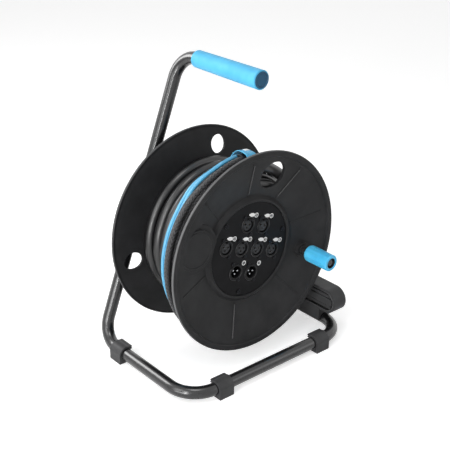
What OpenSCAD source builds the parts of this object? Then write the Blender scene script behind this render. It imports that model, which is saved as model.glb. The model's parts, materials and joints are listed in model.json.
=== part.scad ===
// Portable XLR stage cable drum on a bent tube stand, millimetres.
// Z is up and Z = 0 is the floor. X = 0 is the plane of the drum's axle, which lies along Y.
// The drum's front, with the sockets and the crank, faces -Y.

/* [Drum] */
// Outer diameter of both flanges
flange_d = 310; // [300:2:316]
// Width of the drum over both rims
drum_w = 149; // [146:1:154]
// Width of the rolled rim, along the axle
rim_w = 5; // [4:0.5:6]
// Radial height of the rolled rim
rim_h = 9; // [7:0.5:10]
// How deep the flange face sinks from rim to hub
dish_depth = 17; // [15:0.5:18]
// Wall of the moulded flanges
flange_wall = 3.5; // [3:0.25:4]
// Outer diameter of the barrel the cable is wound on
barrel_d = 168; // [166:1:170]
// Wall of the barrel
barrel_wall = 3; // [2.5:0.25:3.5]
// How far the drum is turned in the stand at rest, degrees
drum_turn = 17.5; // [0:0.5:45]
// Diameter of the finger hole in the front flange
finger_hole_d = 43; // [38:1:46]
// Distance of the finger hole from the axle
finger_hole_r = 116; // [114:1:118]
// Diameter of the three holes in the rear flange
rear_hole_d = 28.4; // [24:0.4:32]
// Distance of the rear flange holes from the axle
rear_hole_r = 127; // [124:1:129]
// Distance of the crank from the axle
crank_r = 108; // [104:0.5:109]

/* [Connector panel] */
// How far the panel's edge lies inside the barrel's surface
panel_margin = 10.4; // [10:0.2:11]
// Thickness of the connector panel
panel_t = 2; // [1.5:0.25:2.5]
// Depth of the panel's face behind the rim
panel_depth = 18; // [17:0.25:18.5]
// Side to side pitch of the sockets
socket_pitch_x = 31.7; // [31:0.1:32]
// Row pitch of the sockets
socket_pitch_z = 36; // [35:0.5:37]
// How far the panel screws lie inside the panel's edge
panel_screw_inset = 6.6; // [6:0.2:7]

/* [Sockets] */
// Width of a socket's flange
socket_w = 26; // [25:0.5:28]
// Height of a socket's flange
socket_h = 31; // [30:0.5:32]
// Thickness of a socket's flange
socket_flange_t = 1.8; // [1.5:0.1:2.2]
// Diameter of a socket's body
socket_body_d = 23.6; // [23.2:0.2:24]
// Bore of a socket, for the plug's shell
socket_bore_d = 19.2; // [19:0.1:19.4]
// Length of a socket's body behind its flange
socket_body_l = 24; // [22:1:28]
// Side to side pitch of a socket's two screws
socket_screw_x = 19; // [18.5:0.25:19.5]
// Vertical pitch of a socket's two screws
socket_screw_z = 24; // [23.5:0.25:24.5]
// Travel of a socket's release tab
latch_travel = 1.5; // [1:0.1:2]

/* [Crank] */
// Diameter of the crank knob
knob_d = 26; // [24:0.5:28]
// Length of the crank knob
knob_l = 48; // [44:1:52]
// Diameter of the crank pin
crank_pin_d = 8; // [7:0.5:9]
// Gap between the flange boss and the knob
knob_gap = 16.5; // [14:0.5:18]

/* [Axle] */
// Diameter of the axle
axle_d = 14; // [12:0.5:15]
// Wall of the plastic bushes
bush_wall = 3; // [2.5:0.25:3.5]
// Length of each bush
bush_l = 18; // [14:1:20]
// Gap between the rear rim and the bearing bracket
bracket_gap = 10; // [8:0.5:12]

/* [Stand] */
// Height of the axle above the floor
axle_h = 181; // [180:1:190]
// Height of the handle's centre line
handle_h = 440; // [425:1:460]
// Outer diameter of the frame tube
tube_d = 19; // [18.5:0.5:20]
// Wall of the frame tube
tube_wall = 1.5; // [1:0.25:2]
// Half of the distance between the floor bars' centre lines
half_width = 156; // [150:1:162]
// Distance of the front bar's centre line ahead of the drum
front_reach = 38; // [30:1:45]
// Bend radius at the rear corner and at the handle
rear_bend_r = 36; // [32:1:42]
// Bend radius at the two front corners
front_bend_r = 45; // [38:1:48]
// Thickness of the feet under the tube
foot_t = 4.5; // [3:0.5:6]
// Length of a foot along the tube
foot_l = 26; // [22:1:30]

/* [Grip] */
// Grip diameter at the front end
grip_d = 28; // [26:0.5:30]
// Grip diameter at the rear end
grip_rear_d = 26; // [25:0.5:28]
// Length of the grip
grip_l = 138; // [125:1:145]

/* [Bracket] */
// Height of the bracket's floor beam
beam_h = 40; // [36:1:44]
// Thickness of the bracket's floor beam
beam_w = 25; // [24:0.5:27]
// How far the beam's round nose reaches ahead of the drum
beam_reach = 28; // [24:1:32]
// Thickness of the bracket's plate
bracket_t = 12; // [10:0.5:13]

/* [Cable] */
// Diameter of the multicore cable
cable_d = 16.5; // [15:0.25:16.75]
// Step from the first turn of cable to the next one
cable_pitch = 17.2; // [17.1:0.1:17.6]
// How much each further step is looser, toward the rear
pitch_growth = 0.6; // [0.5:0.02:0.6]
// Diameter of the two blue tails
tail_d = 5.6; // [5:0.2:5.6]
// Diameter of the three braided tails
braid_d = 8; // [7:0.2:8]
// Width of the strap
strap_w = 19.5; // [16:0.5:20]
// Thickness of the strap
strap_t = 1.2; // [1:0.1:1.3]

/* [Hidden] */
$fn = 96;

fit = 0.1;        // gap of a fixed fit
run = 0.05;       // radial clearance of a running fit
eps = 0.01;       // overshoot of a cut
small = 32;       // facets asked of small rounds

flange_r = flange_d / 2;
barrel_r = barrel_d / 2;
tube_r = tube_d / 2;
floor_tube_z = tube_r + foot_t;
cable_rad = cable_d / 2;
panel_d = barrel_d - 2 * panel_margin;
panel_screw_r = panel_d / 2 - panel_screw_inset;

// The dished face: depth behind the rim at a radius.
dish_r0 = flange_r - rim_h - 1;
dish_y0 = 3.5;
function face_y(r) = dish_y0 + dish_depth * (dish_r0 - r) / (dish_r0 - barrel_r);
slope = atan(dish_depth / (dish_r0 - barrel_r));

// Along the axle, measured from the front rim: the stand's rear plane and the whole length.
rear_plane = drum_w + bracket_gap + bracket_t + tube_r - 1.5;
foot_wall = 3.2;
front_end = -(front_reach + tube_r + foot_wall);
crank_front = face_y(crank_r) - knob_gap - knob_l;
bracket_back = drum_w + bracket_gap + bracket_t + 8;
axle_end = bracket_back + 14;
rear_end = max(axle_end, rear_plane + tube_r + 3.5);
mid_y = (min(front_end, crank_front) + rear_end) / 2;

seat_y = panel_depth + panel_t + fit;
seat_t = 4.5;
hub_r = axle_d / 2 + bush_wall + run + fit;
hub_wall = 5;
web_t = 4;
rear_web_y = drum_w - dish_y0 - dish_depth;
bracket_y = drum_w + bracket_gap;

lean = atan(half_width / (handle_h - floor_tube_z));
upright_x = -half_width + (axle_h - floor_tube_z) * tan(lean);

// Sockets, in the drum's own upright frame: two, four and two.
socket_places = concat(
  [for (i = [-0.5, 0.5]) [i * socket_pitch_x, socket_pitch_z]],
  [for (i = [-1.5 : 1.5]) [i * socket_pitch_x, 0]]
);
male_places = [for (i = [-0.5, 0.5]) [i * socket_pitch_x, -socket_pitch_z]];
contact_places = [[-4.3, 1.6], [4.3, 1.6], [0, -3.6]];
socket_front = panel_depth - 0.8;
socket_back = panel_depth + socket_body_l;
crank_angle = 1.5;
rib_angles = [30, 70, 110, 150, 210, 270, 330];

// ---- Placing helpers ----

// Everything is drawn from the front rim plane and moved so that Y = 0 is the middle.
module stand_place() translate([0, -mid_y, 0]) children();

// The drum's own frame: axle at the origin, front rim at Y = 0, sockets upright.
module drum_place() stand_place() translate([0, 0, axle_h]) rotate([0, drum_turn, 0]) children();

// Turns a child that stands along +Z so that it lies along +Y from y.
module along_y(y) translate([0, y, 0]) rotate([-90, 0, 0]) children();

// Moves a child out to a radius and an angle, counted anticlockwise from the front.
module polar(angle, r) rotate([0, -angle, 0]) translate([r, 0, 0]) children();

// A ring or disc round Y.
module ring_y(r_out, r_in, y0, y1) along_y(y0) difference() {
  cylinder(r = r_out, h = y1 - y0);
  translate([0, 0, -eps]) cylinder(r = r_in, h = y1 - y0 + 2 * eps);
}

module rod_y(r, y0, y1, sides = 0) along_y(y0) cylinder(r = r, h = y1 - y0, $fn = sides > 0 ? sides : $fn);

// A profile of [radius, y] points turned round the axle.
module turned(points) rotate([-90, 0, 0]) rotate_extrude() polygon(points);

// ---- Frame tube ----

module tube_ring() difference() {
  circle(d = tube_d);
  circle(d = tube_d - 2 * tube_wall);
}

// A straight of tube along +Z, and a quarter bend turned from +X toward +Y.
module straight(l) linear_extrude(l) tube_ring();
module bend(r) rotate_extrude(angle = 90) translate([r, 0]) tube_ring();

top_corner = [0, rear_plane, handle_h];
upright_l = round(norm([half_width, handle_h - floor_tube_z]) * 1000) / 1000;
grip_front = 3;
tube_front = grip_front + 6;
bar_end = rear_plane + tube_r;

// Handle and upright are one bent tube, the floor loop another, butt welded behind the left foot.
weld_w = 1;
weld_h = 0.15;
module weld() linear_extrude(weld_w) difference() {
  circle(r = tube_r + weld_h);
  circle(r = tube_r - tube_wall - weld_h);
}

module frame_tube() color("#1b1c1e") stand_place() {
  translate(top_corner) rotate([0, lean, 0]) {
    translate([0, -rear_bend_r, 0]) rotate([90, 0, 0]) straight(rear_plane - rear_bend_r - tube_front);
    translate([0, -rear_bend_r, -rear_bend_r]) rotate([0, -90, 0]) bend(rear_bend_r);
    translate([0, 0, rear_bend_r - upright_l]) straight(upright_l - 2 * rear_bend_r);
    translate([0, -rear_bend_r, rear_bend_r - upright_l]) rotate([0, 90, 0]) bend(rear_bend_r);
    translate([0, weld_w / 2 - rear_bend_r, -upright_l]) rotate([90, 0, 0]) weld();
  }
  translate([-half_width, front_bend_r - front_reach, floor_tube_z]) {
    rotate([-90, 0, 0]) straight(rear_plane - rear_bend_r - front_bend_r + front_reach - 0.1);
    translate([front_bend_r, 0, 0]) rotate([0, 0, 180]) bend(front_bend_r);
    translate([front_bend_r, -front_bend_r, 0]) rotate([0, 90, 0]) straight(2 * (half_width - front_bend_r));
    translate([2 * half_width - front_bend_r, 0, 0]) rotate([0, 0, -90]) bend(front_bend_r);
    translate([2 * half_width, 0, 0]) rotate([-90, 0, 0]) straight(bar_end + front_reach - front_bend_r);
  }
}

module tube_end_plug() color("#161616") stand_place() translate([half_width, bar_end, floor_tube_z]) {
  rod_y(tube_r, fit, 2.5);
  rod_y(tube_r - tube_wall - fit, -12, fit);
}

// ---- Handle ----

module handle_grip() color("#58c4f0") stand_place() translate([0, grip_front, handle_h])
  rotate([-90, 0, 0]) difference() {
    rotate_extrude() {
      polygon(concat(
        [[0, 0], [grip_d / 2 - 1, 0], [grip_d / 2, 1]],
        [for (a = [0 : 7.5 : 90]) [grip_dome * cos(a) + grip_rear_d / 2 - grip_dome,
                                   grip_l - grip_dome + grip_dome * sin(a)]],
        [[0, grip_l]]
      ));
    }
    translate([0, 0, -eps]) cylinder(r = tube_r + fit, h = grip_l + 1);
    translate([0, 0, -eps]) cylinder(r = cap_r + fit, h = cap_seat);
  }
grip_dome = (grip_rear_d - tube_d) / 2 - 0.6;
cap_r = grip_d / 2 - 2;
cap_seat = 3;

// The cap closes the grip and plugs the tube; its round field is plain.
module grip_end_cap() color("#20323c") stand_place() translate([0, grip_front, handle_h]) {
  turned([
    [0, -0.6], [cap_r - 4, -0.6], [cap_r - 3.4, 0], [cap_r - 2.2, 0], [cap_r - 1.6, -1],
    [cap_r - 0.6, -1], [cap_r, -0.4], [cap_r, cap_seat - fit], [tube_r - tube_wall - fit, cap_seat - fit],
    [tube_r - tube_wall - fit, cap_seat + 14], [0, cap_seat + 14]
  ]);
}

// ---- Feet ----

// Across the tube: x points away from the middle of the stand.
module foot_profile() {
  wall_r = tube_r + foot_wall;
  difference() {
    union() {
      circle(r = wall_r);
      translate([-2, -floor_tube_z]) square([wall_r + 2, floor_tube_z]);
      translate([wall_r - 6, -floor_tube_z]) square([6, floor_tube_z + 3]);
      translate([-10, wall_r - 3.2]) square([10, 2.2]);
    }
    circle(r = tube_r + fit);
    polygon([[-2, 0], [-2, -floor_tube_z - 1], [-wall_r - 1, -floor_tube_z - 1],
             [-wall_r - 1, 6.5], [-7.4, 6.5], [-5, 4]]);
  }
}

// at: middle of the foot on the tube; turn: heading of its outer side.
module foot(at, turn) translate(at) rotate([0, 0, turn])
  translate([0, foot_l / 2, 0]) rotate([90, 0, 0]) linear_extrude(foot_l) foot_profile();

front_foot_x = half_width - front_bend_r - foot_l / 2;
rear_foot_y = rear_plane - rear_bend_r - foot_l / 2 - weld_w;

module foot_clips() color("#202123") stand_place() {
  foot([-half_width, rear_foot_y, floor_tube_z], 180);
  foot([-front_foot_x, -front_reach, floor_tube_z], -90);
  foot([front_foot_x, -front_reach, floor_tube_z], -90);
}

// ---- Bearing bracket ----

beam_x = half_width + 0.25;
beam_z = floor_tube_z + 20;
saddle_front = 5;
beam_back = rear_plane + tube_r + 1;
pocket_w = 8;

module beam_side() {
  translate([beam_h / 2 - beam_reach, beam_z + beam_h / 2]) circle(d = beam_h);
  translate([beam_h / 2 - beam_reach, beam_z]) square([beam_back - beam_h / 2 + beam_reach, beam_h]);
  translate([saddle_front, floor_tube_z - 1]) square([beam_back - saddle_front, beam_z - floor_tube_z + 2]);
}

// The decorative recess in the beam's inner side, with a half-round rail along it.
recess_h = beam_h - 9;
module beam_recess() {
  front = beam_h / 2 - beam_reach;
  back = bracket_y - 30;
  mid = beam_z + beam_h / 2;
  translate([0, 0, mid]) difference() {
    union() {
      translate([beam_x - beam_w / 2 - 1, front, -recess_h / 2]) cube([4, back - front, recess_h]);
      translate([beam_x - beam_w / 2 - 1, front, 0]) rotate([0, 90, 0]) cylinder(r = recess_h / 2, h = 4);
    }
    translate([beam_x - beam_w / 2 + 5, 0, 0]) rod_y(7.5, front - 1, back + 1);
    for (s = [-1, 1])
      translate([beam_x - beam_w / 2 + 1.2, front - 1, s * (recess_h / 2 - 6) - 2.5])
        cube([5, back - front + 2, 5]);
  }
}

module leg_outline() {
  hull() {
    circle(r = 24);
    translate([half_width - 6, beam_z + beam_h / 2 - axle_h]) circle(r = 17);
  }
  hull() {
    circle(r = 24);
    translate([upright_x, 0]) circle(r = 17);
  }
}

module bearing_bracket() color("#26272a") stand_place() difference() {
  union() {
    translate([beam_x + beam_w / 2, 0, 0]) rotate([90, 0, 90]) mirror([0, 0, 1])
      linear_extrude(beam_w) beam_side();
    translate([0, bracket_y, axle_h]) rotate([90, 0, 0]) mirror([0, 0, 1])
      linear_extrude(bracket_t) leg_outline();
    translate([0, 0, axle_h]) rod_y(20, bracket_y - 2, bracket_back);
    translate([half_width - 9, rear_foot_y - foot_l / 2, 0])
      cube([beam_face - half_width + 9, foot_l, floor_tube_z]);
    translate([upright_x, 0, axle_h]) rotate([0, lean, 0])
      translate([-clamp_w / 2, bracket_y, -clamp_l / 2]) cube([clamp_w, rear_plane - bracket_y - 0.4, clamp_l]);
  }
  beam_recess();
  translate([half_width, 0, floor_tube_z]) rod_y(tube_r + fit, -60, 300);
  translate([upright_x, rear_plane, axle_h]) rotate([0, lean, 0])
    translate([0, 0, -60]) cylinder(r = tube_r + fit, h = 120);
  translate([0, 0, axle_h]) rod_y(axle_d / 2 + fit, 0, 300);
  clamp_holes(2.1);
  beam_spots() beam_screw(0.1);
  for (i = [0 : 3]) pocket(i);
}

// Cored pockets on the beam's outer side.
module pocket(i) {
  pitch = 44;
  translate([beam_x + beam_w / 2 - pocket_w, 4 + i * pitch, beam_z + 5])
    cube([pocket_w + 1, pitch - 4, beam_h - 10]);
}

clamp_w = 42;
clamp_l = 34;

// Four clamp screws either side of the upright.
module clamp_spots() translate([upright_x, 0, axle_h]) rotate([0, lean, 0])
  for (sx = [-1, 1], sz = [-1, 1]) translate([sx * (clamp_w / 2 - 5), 0, sz * (clamp_l / 2 - 7)]) children();

module clamp_holes(r) clamp_spots() rod_y(r, bracket_y + 4, rear_plane + 20, small);

module tube_clamp() color("#26272a") stand_place() difference() {
  union() {
    translate([upright_x, 0, axle_h]) rotate([0, lean, 0]) {
      translate([-clamp_w / 2, rear_plane, -clamp_l / 2]) cube([clamp_w, 5, clamp_l]);
      translate([0, rear_plane, -clamp_l / 2]) cylinder(r = tube_r + 3.5, h = clamp_l);
    }
  }
  translate([upright_x, rear_plane, axle_h]) rotate([0, lean, 0]) translate([0, 0, -60])
    cylinder(r = tube_r + fit, h = 120);
  translate([upright_x, 0, axle_h]) rotate([0, lean, 0])
    translate([-50, rear_plane - 40, -50]) cube([100, 40, 100]);
  clamp_holes(2.3);
}

module clamp_screws() color("#8c9094") stand_place() clamp_spots() {
  rod_y(2, bracket_y + 5, rear_plane + 5 + fit, small);
  rod_y(3.6, rear_plane + 5 + fit, rear_plane + 7.6, small);
}

// Two screws through the saddle's outer cheek into the floor tube.
module beam_spots() for (y = [40, 130]) translate([0, y, floor_tube_z]) children();

beam_face = beam_x + beam_w / 2;
cone_h = 2;

// Drawn along the screw, from the tube's wall out to the beam's face.
module beam_screw(gap) rotate([0, 90, 0]) rotate_extrude($fn = small) polygon([
  [0, half_width + tube_r + 2 * fit], [2 + gap, half_width + tube_r + 2 * fit],
  [2 + gap, beam_face - cone_h - gap], [4 + gap, beam_face - gap],
  [4 + gap, beam_face + (gap > 0 ? 1 : -0.05)], [0, beam_face + (gap > 0 ? 1 : -0.05)]
]);

module beam_screws() color("#8c9094") stand_place() beam_spots() beam_screw(0);

// ---- Axle ----

axle_front = 58;
circlip_y = axle_front + 3;
hub_front = axle_front + 7;

module axle() color("#9a9da1") stand_place() translate([0, 0, axle_h]) difference() {
  union() {
    rod_y(axle_d / 2, axle_front, axle_end);
    rod_y(axle_d / 2 + 4, bush_flange_y + 1.8, bracket_y - 2 - fit);
  }
  ring_y(axle_d / 2 + 1, axle_d / 2 - 1, circlip_y, circlip_y + 1.6);
}

module axle_washer() color("#a6a9ad") stand_place() translate([0, 0, axle_h])
  ring_y(axle_d / 2 + 7, axle_d / 2 + fit, bracket_back + fit, bracket_back + 2);

module axle_nut() color("#a6a9ad") stand_place() translate([0, 0, axle_h]) difference() {
  rod_y(axle_d * 0.88, bracket_back + 2 + fit, bracket_back + 10, 6);
  rod_y(axle_d / 2 + fit, bracket_back, bracket_back + 20);
}

module thrust_washer() color("#a6a9ad") drum_place()
  ring_y(hub_r + 2, axle_d / 2 + run, hub_front - 2, hub_front - fit);

module axle_circlip() color("#6d7074") stand_place() translate([0, 0, axle_h])
  ring_y(axle_d / 2 + 3, axle_d / 2 - 1 + run, circlip_y + 0.15, circlip_y + 1.45);

// ---- Drum ----

// Rolled rim and dished wall, from the rim in to the barrel.
function dish_section() = [
  [barrel_r - 2, face_y(barrel_r - 2)],
  [dish_r0, dish_y0], [dish_r0 + 0.6, 1.4], [dish_r0 + 2, 0.3], [dish_r0 + 4, 0],
  [flange_r - 2, 0], [flange_r - 0.6, 0.6], [flange_r, 2],
  [flange_r, rim_w - 1.2], [flange_r - 1.2, rim_w],
  [flange_r - 4, rim_w], [dish_r0, dish_y0 + flange_wall], [barrel_r - 2, face_y(barrel_r - 2) + flange_wall]
];

collar_r = panel_d / 2 + 4.9;
collar_y = panel_depth - 2;

rib_end_r = dish_r0 - 8;
module thin_rib(angle) polar(angle, 0) translate([barrel_r + 1, face_y(barrel_r + 1), 0])
  rotate([0, 0, -slope]) translate([0, -0.7, -0.8]) cube([(rib_end_r - barrel_r - 1) / cos(slope), 1.7, 1.6]);

pip_r = dish_r0 - 7;
module pip(angle) polar(angle, pip_r) rod_y(2.2, face_y(pip_r) - 1, face_y(pip_r) + 1);

// Round badge seat at the left, two plain tiers.
badge_r = 113;
module badge_seat() intersection() {
  polar(180, badge_r) {
    rod_y(38, 10.5, face_y(badge_r - 38) + 1);
    rod_y(30.6, 7.5, 12);
    ring_y(27.5, 25.5, 6.7, 8);
  }
  turned([[collar_r, -1], [dish_r0 - 1, -1], [dish_r0 - 1, dish_y0 + 1], [collar_r, seat_y + 3]]);
}

crank_boss_front = face_y(crank_r) - 5;

module front_flange() color("#2a2b2d") drum_place() difference() {
  union() {
    turned(dish_section());
    // collar round the panel and the seat under it
    turned([
      [panel_d / 2 + 0.4, collar_y + 0.6], [panel_d / 2 + 1, collar_y], [collar_r - 0.8, collar_y],
      [collar_r, collar_y + 0.8], [barrel_r - 1, face_y(barrel_r - 1) + 0.4],
      [barrel_r - 1, seat_y + seat_t], [panel_screw_r - 4.6, seat_y + seat_t],
      [panel_screw_r - 4.6, seat_y], [panel_d / 2 + 0.4, seat_y]
    ]);
    for (a = rib_angles) thin_rib(a);
    for (a = [70, 110, 150]) pip(a);
    badge_seat();
    polar(crank_angle, crank_r) rod_y(12, crank_boss_front, face_y(crank_r) + flange_wall);
    polar(90, finger_hole_r) intersection() {
      translate([0, face_y(finger_hole_r), 0]) rotate([0, 0, -slope])
        rod_y(finger_hole_d / 2 + 3, 1, flange_wall + 1);
      rod_y(finger_hole_d / 2 + 9, 0, face_y(finger_hole_r) + 7.5);
    }
    for (a = [30, 150, 270]) polar(a, panel_screw_r) rod_y(4, seat_y, seat_y + 12, small);
  }
  polar(90, finger_hole_r) rod_y(finger_hole_d / 2, -5, 60);
  polar(crank_angle, crank_r) rod_y(crank_pin_d / 2 + fit, 0, 60);
  polar(crank_angle, crank_r) rod_y(nut_r + fit, face_y(crank_r) + flange_wall - nut_t, 60, 6);
  for (a = [30, 150, 270]) polar(a, panel_screw_r) rod_y(1.6, seat_y - 1, seat_y + 10, small);
}

module rear_flange() color("#242527") drum_place() difference() {
  union() {
    translate([0, drum_w, 0]) mirror([0, 1, 0]) turned(dish_section());
    // web across the barrel, stepped ring and hub tube
    ring_y(barrel_r - 1, hub_r, rear_web_y - web_t, rear_web_y + 0.6);
    ring_y(hub_r + hub_wall, hub_r, hub_front, rear_web_y + 16);
    for (a = [0 : 60 : 300]) polar(a, 0)
      translate([hub_r + hub_wall - 1, rear_web_y, -1.5]) cube([barrel_r - hub_r - hub_wall - 6, 10, 3]);
    for (a = [0 : 60 : 300]) polar(a + 30, tie_r) rod_y(7, rear_web_y, rear_web_y + 3, small);
  }
  for (a = [90, 210, 330]) polar(a, rear_hole_r) rod_y(rear_hole_d / 2, 90, 160);
  for (a = [0 : 60 : 300]) polar(a + 30, tie_r) rod_y(2.2, rear_web_y - 10, rear_web_y + 10, small);
}

tie_r = barrel_r - 12;
barrel_front = seat_y + seat_t + fit;
barrel_back = rear_web_y - web_t - fit;

module drum_barrel() color("#242527") drum_place() difference() {
  union() {
    ring_y(barrel_r - 0.2, barrel_r - barrel_wall, barrel_front, barrel_back);
    for (a = [0 : 60 : 300]) polar(a + 30, tie_r) rod_y(5, barrel_back - 30, barrel_back, small);
    for (a = [0 : 60 : 300]) polar(a + 30, 0)
      translate([tie_r + 4, barrel_back - 30, -1]) cube([barrel_r - tie_r - 5, 30, 2]);
  }
  for (a = [0 : 60 : 300]) polar(a + 30, tie_r) rod_y(1.7, barrel_back - 26, barrel_back + 1, small);
  gland_place() cylinder(r = gland_r + fit, h = 30);
}

module flange_screws() color("#8c9094") drum_place()
  for (a = [0 : 60 : 300]) polar(a + 30, tie_r) {
    rod_y(1.6, barrel_back - 20, rear_web_y + 3 + fit, small);
    rod_y(4.2, rear_web_y + 3 + fit, rear_web_y + 5.8, small);
  }

module bush(y0, flange_y) drum_place() {
  ring_y(hub_r - fit, axle_d / 2 + run, y0, y0 + bush_l);
  ring_y(hub_r + 3, axle_d / 2 + run, flange_y, flange_y + 1.5);
}

module front_bush() color("#d8d6cc") drum_place() difference() {
  rod_y(hub_r - fit, hub_front + fit, hub_front + bush_l);
  rod_y(axle_d / 2 + run, 0, 300);
}

bush_flange_y = rear_web_y + 16 + fit;
module rear_bush() color("#d8d6cc") drum_place() difference() {
  union() {
    rod_y(hub_r - fit, bush_flange_y - bush_l, bush_flange_y + 0.5);
    rod_y(hub_r + 3, bush_flange_y, bush_flange_y + 1.6);
  }
  rod_y(axle_d / 2 + run, 0, 300);
}

// ---- Connector panel and sockets ----

module connector_panel() color("#17181a") drum_place() difference() {
  rod_y(panel_d / 2, panel_depth, panel_depth + panel_t);
  for (p = concat(socket_places, male_places)) translate([p[0], 0, p[1]]) {
    rod_y(socket_body_d / 2 + fit, 0, 60);
    socket_screw_spots() rod_y(1.7, 0, 60, small);
  }
  for (a = [30, 150, 270]) polar(a, panel_screw_r) rod_y(2.1, 0, 60, small);
}

module panel_screws() color("#55585c") drum_place()
  for (a = [30, 150, 270]) polar(a, panel_screw_r) {
    difference() {
      rod_y(3.4, panel_depth - 1.6, panel_depth - fit, small);
      for (t = [0, 90]) rotate([0, t + 20, 0]) translate([-2, panel_depth - 2, -0.4]) cube([4, 1.2, 0.8]);
    }
    rod_y(1.5, panel_depth - fit, seat_y + 9, small);
  }

module socket_screw_spots()
  for (s = [-1, 1]) translate([s * socket_screw_x / 2, 0, -s * socket_screw_z / 2]) children();

module rounded_plate(w, h, r, y0, y1) translate([0, y0, 0]) rotate([-90, 0, 0]) linear_extrude(y1 - y0)
  union() {
    square([w - 2 * r, h], center = true);
    square([w, h - 2 * r], center = true);
    for (sx = [-1, 1], sy = [-1, 1]) translate([sx * (w / 2 - r), sy * (h / 2 - r)]) circle(r = r, $fn = small);
  }

// The socket stands in the panel from behind: its ring shows and its plate lies on the panel's back.
plate_front = panel_depth + panel_t + fit;
module socket_shell() difference() {
  union() {
    rounded_plate(socket_w, socket_h, 3, plate_front, plate_front + socket_flange_t);
    rod_y(socket_body_d / 2, socket_front, socket_back);
  }
  rod_y(socket_bore_d / 2, 0, socket_back + 1);
  socket_screw_spots() rod_y(1.7, 0, 60, small);
}

latch_w = 6.6;
latch_lo = 8.8;
latch_hi = 10.9;
latch_back = panel_depth + 8;

module female_sockets() color("#1d1e20") drum_place()
  for (p = socket_places) translate([p[0], 0, p[1]]) difference() {
    socket_shell();
    translate([-latch_w / 2 - 0.15, 0, latch_lo - 0.5])
      cube([latch_w + 0.3, latch_back + latch_travel + 0.6, latch_hi - latch_lo + 0.65]);
  }

insert_front = socket_front + 1.8;
insert_base = socket_back - 7;

module insert(front, core_r) {
  rod_y(core_r, front, socket_back - 1);
  rod_y(socket_bore_d / 2 - fit, insert_base, socket_back - 1);
}

module female_inserts() color("#232527") drum_place()
  for (p = socket_places) translate([p[0], 0, p[1]]) difference() {
    insert(insert_front, 7.9);
    for (c = contact_places) translate([c[0], 0, c[1]]) rod_y(1.6, 0, 80, small);
  }

module female_contacts() color("#c9a85a") drum_place()
  for (p = socket_places, c = contact_places) translate([p[0] + c[0], 0, p[1] + c[1]]) difference() {
    rod_y(1.5, insert_front + 2, socket_back + 4, small);
    rod_y(1.1, 0, insert_base, small);
  }

// Release tab at the top of each female socket; it is pressed in, along +Y.
module latch_tab(i) color("#3a3c3f") drum_place() translate([socket_places[i][0], 0, socket_places[i][1]])
  translate([-latch_w / 2, socket_front - 3.2, latch_lo])
    cube([latch_w, latch_back - socket_front + 3.2, latch_hi - latch_lo]);
module latch_tab_1() latch_tab(0);
module latch_tab_2() latch_tab(1);
module latch_tab_3() latch_tab(2);
module latch_tab_4() latch_tab(3);
module latch_tab_5() latch_tab(4);
module latch_tab_6() latch_tab(5);

module male_sockets() color("#1d1e20") drum_place()
  for (p = male_places) translate([p[0], 0, p[1]]) socket_shell();

male_cup = 14;
module male_inserts() color("#111214") drum_place()
  for (p = male_places) translate([p[0], 0, p[1]]) difference() {
    rod_y(socket_bore_d / 2 - fit, socket_front + male_cup, socket_back - 1);
    for (c = contact_places) translate([c[0], 0, c[1]]) rod_y(1.25, 0, 80, small);
  }

module male_pins() color("#d7d9dc") drum_place()
  for (p = male_places, c = contact_places) translate([p[0] + c[0], 0, p[1] + c[1]]) {
    rod_y(1.2, socket_front + 2.4, socket_back + 4, small);
    rod_y(0.7, socket_front + 1.8, socket_front + 2.4 + eps, small);
  }

module socket_screws() color("#55585c") drum_place()
  for (p = concat(socket_places, male_places)) translate([p[0], 0, p[1]]) socket_screw_spots() {
    difference() {
      rod_y(2.7, panel_depth - 1.4, panel_depth - fit, small);
      for (t = [0, 90]) rotate([0, t + 45, 0]) translate([-1.6, panel_depth - 2, -0.3]) cube([3.2, 1.2, 0.6]);
    }
    rod_y(1.45, panel_depth - fit, plate_front + socket_flange_t + 2, small);
  }

// ---- Crank ----

knob_back = crank_boss_front - knob_gap + 5;
knob_front = knob_back - knob_l;
knob_recess = 7;
nut_r = 6.8;
nut_t = 4;

module crank_knob() color("#55cdff") drum_place() polar(crank_angle, crank_r) difference() {
  turned(concat(
    [[0, knob_front], [knob_d / 2 - 1.5, knob_front], [knob_d / 2, knob_front + 1.5]],
    [for (a = [0 : 10 : 90]) [knob_d / 2 - 5 + 5 * cos(a), knob_back - 5 + 5 * sin(a)]],
    [[0, knob_back]]
  ));
  rod_y(crank_pin_d / 2 + run, -200, 200);
  rod_y(8.2, knob_front - 1, knob_front + knob_recess);
  for (a = [0 : 30 : 330]) rotate([0, a, 0]) translate([knob_d / 2 + 7.6, 0, 0])
    rod_y(8, knob_front + 4, knob_back - 6);
}

// Shouldered pin: its collar sits on the flange boss and its tail goes through to the nut.
pin_front = knob_front + knob_recess - 0.6;
module crank_pin() color("#303236") drum_place() polar(crank_angle, crank_r) difference() {
  union() {
    rod_y(crank_pin_d / 2, pin_front, face_y(crank_r) + flange_wall - 0.2);
    rod_y(8.5, crank_boss_front - 3, crank_boss_front - fit);
    rod_y(6, knob_back + 0.4, crank_boss_front - 2);
  }
  rod_y(2.2, pin_front - 1, pin_front + 16, small);
}

module crank_nut() color("#9a9da1") drum_place() polar(crank_angle, crank_r) difference() {
  rod_y(nut_r - 0.2, face_y(crank_r) + flange_wall - nut_t + fit, face_y(crank_r) + flange_wall - 0.2, 6);
  rod_y(crank_pin_d / 2 + fit, 0, 60);
}

module knob_washer() color("#1c1d1f") drum_place() polar(crank_angle, crank_r)
  ring_y(7.6, 2.4, pin_front - 1.4, pin_front - fit);

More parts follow.
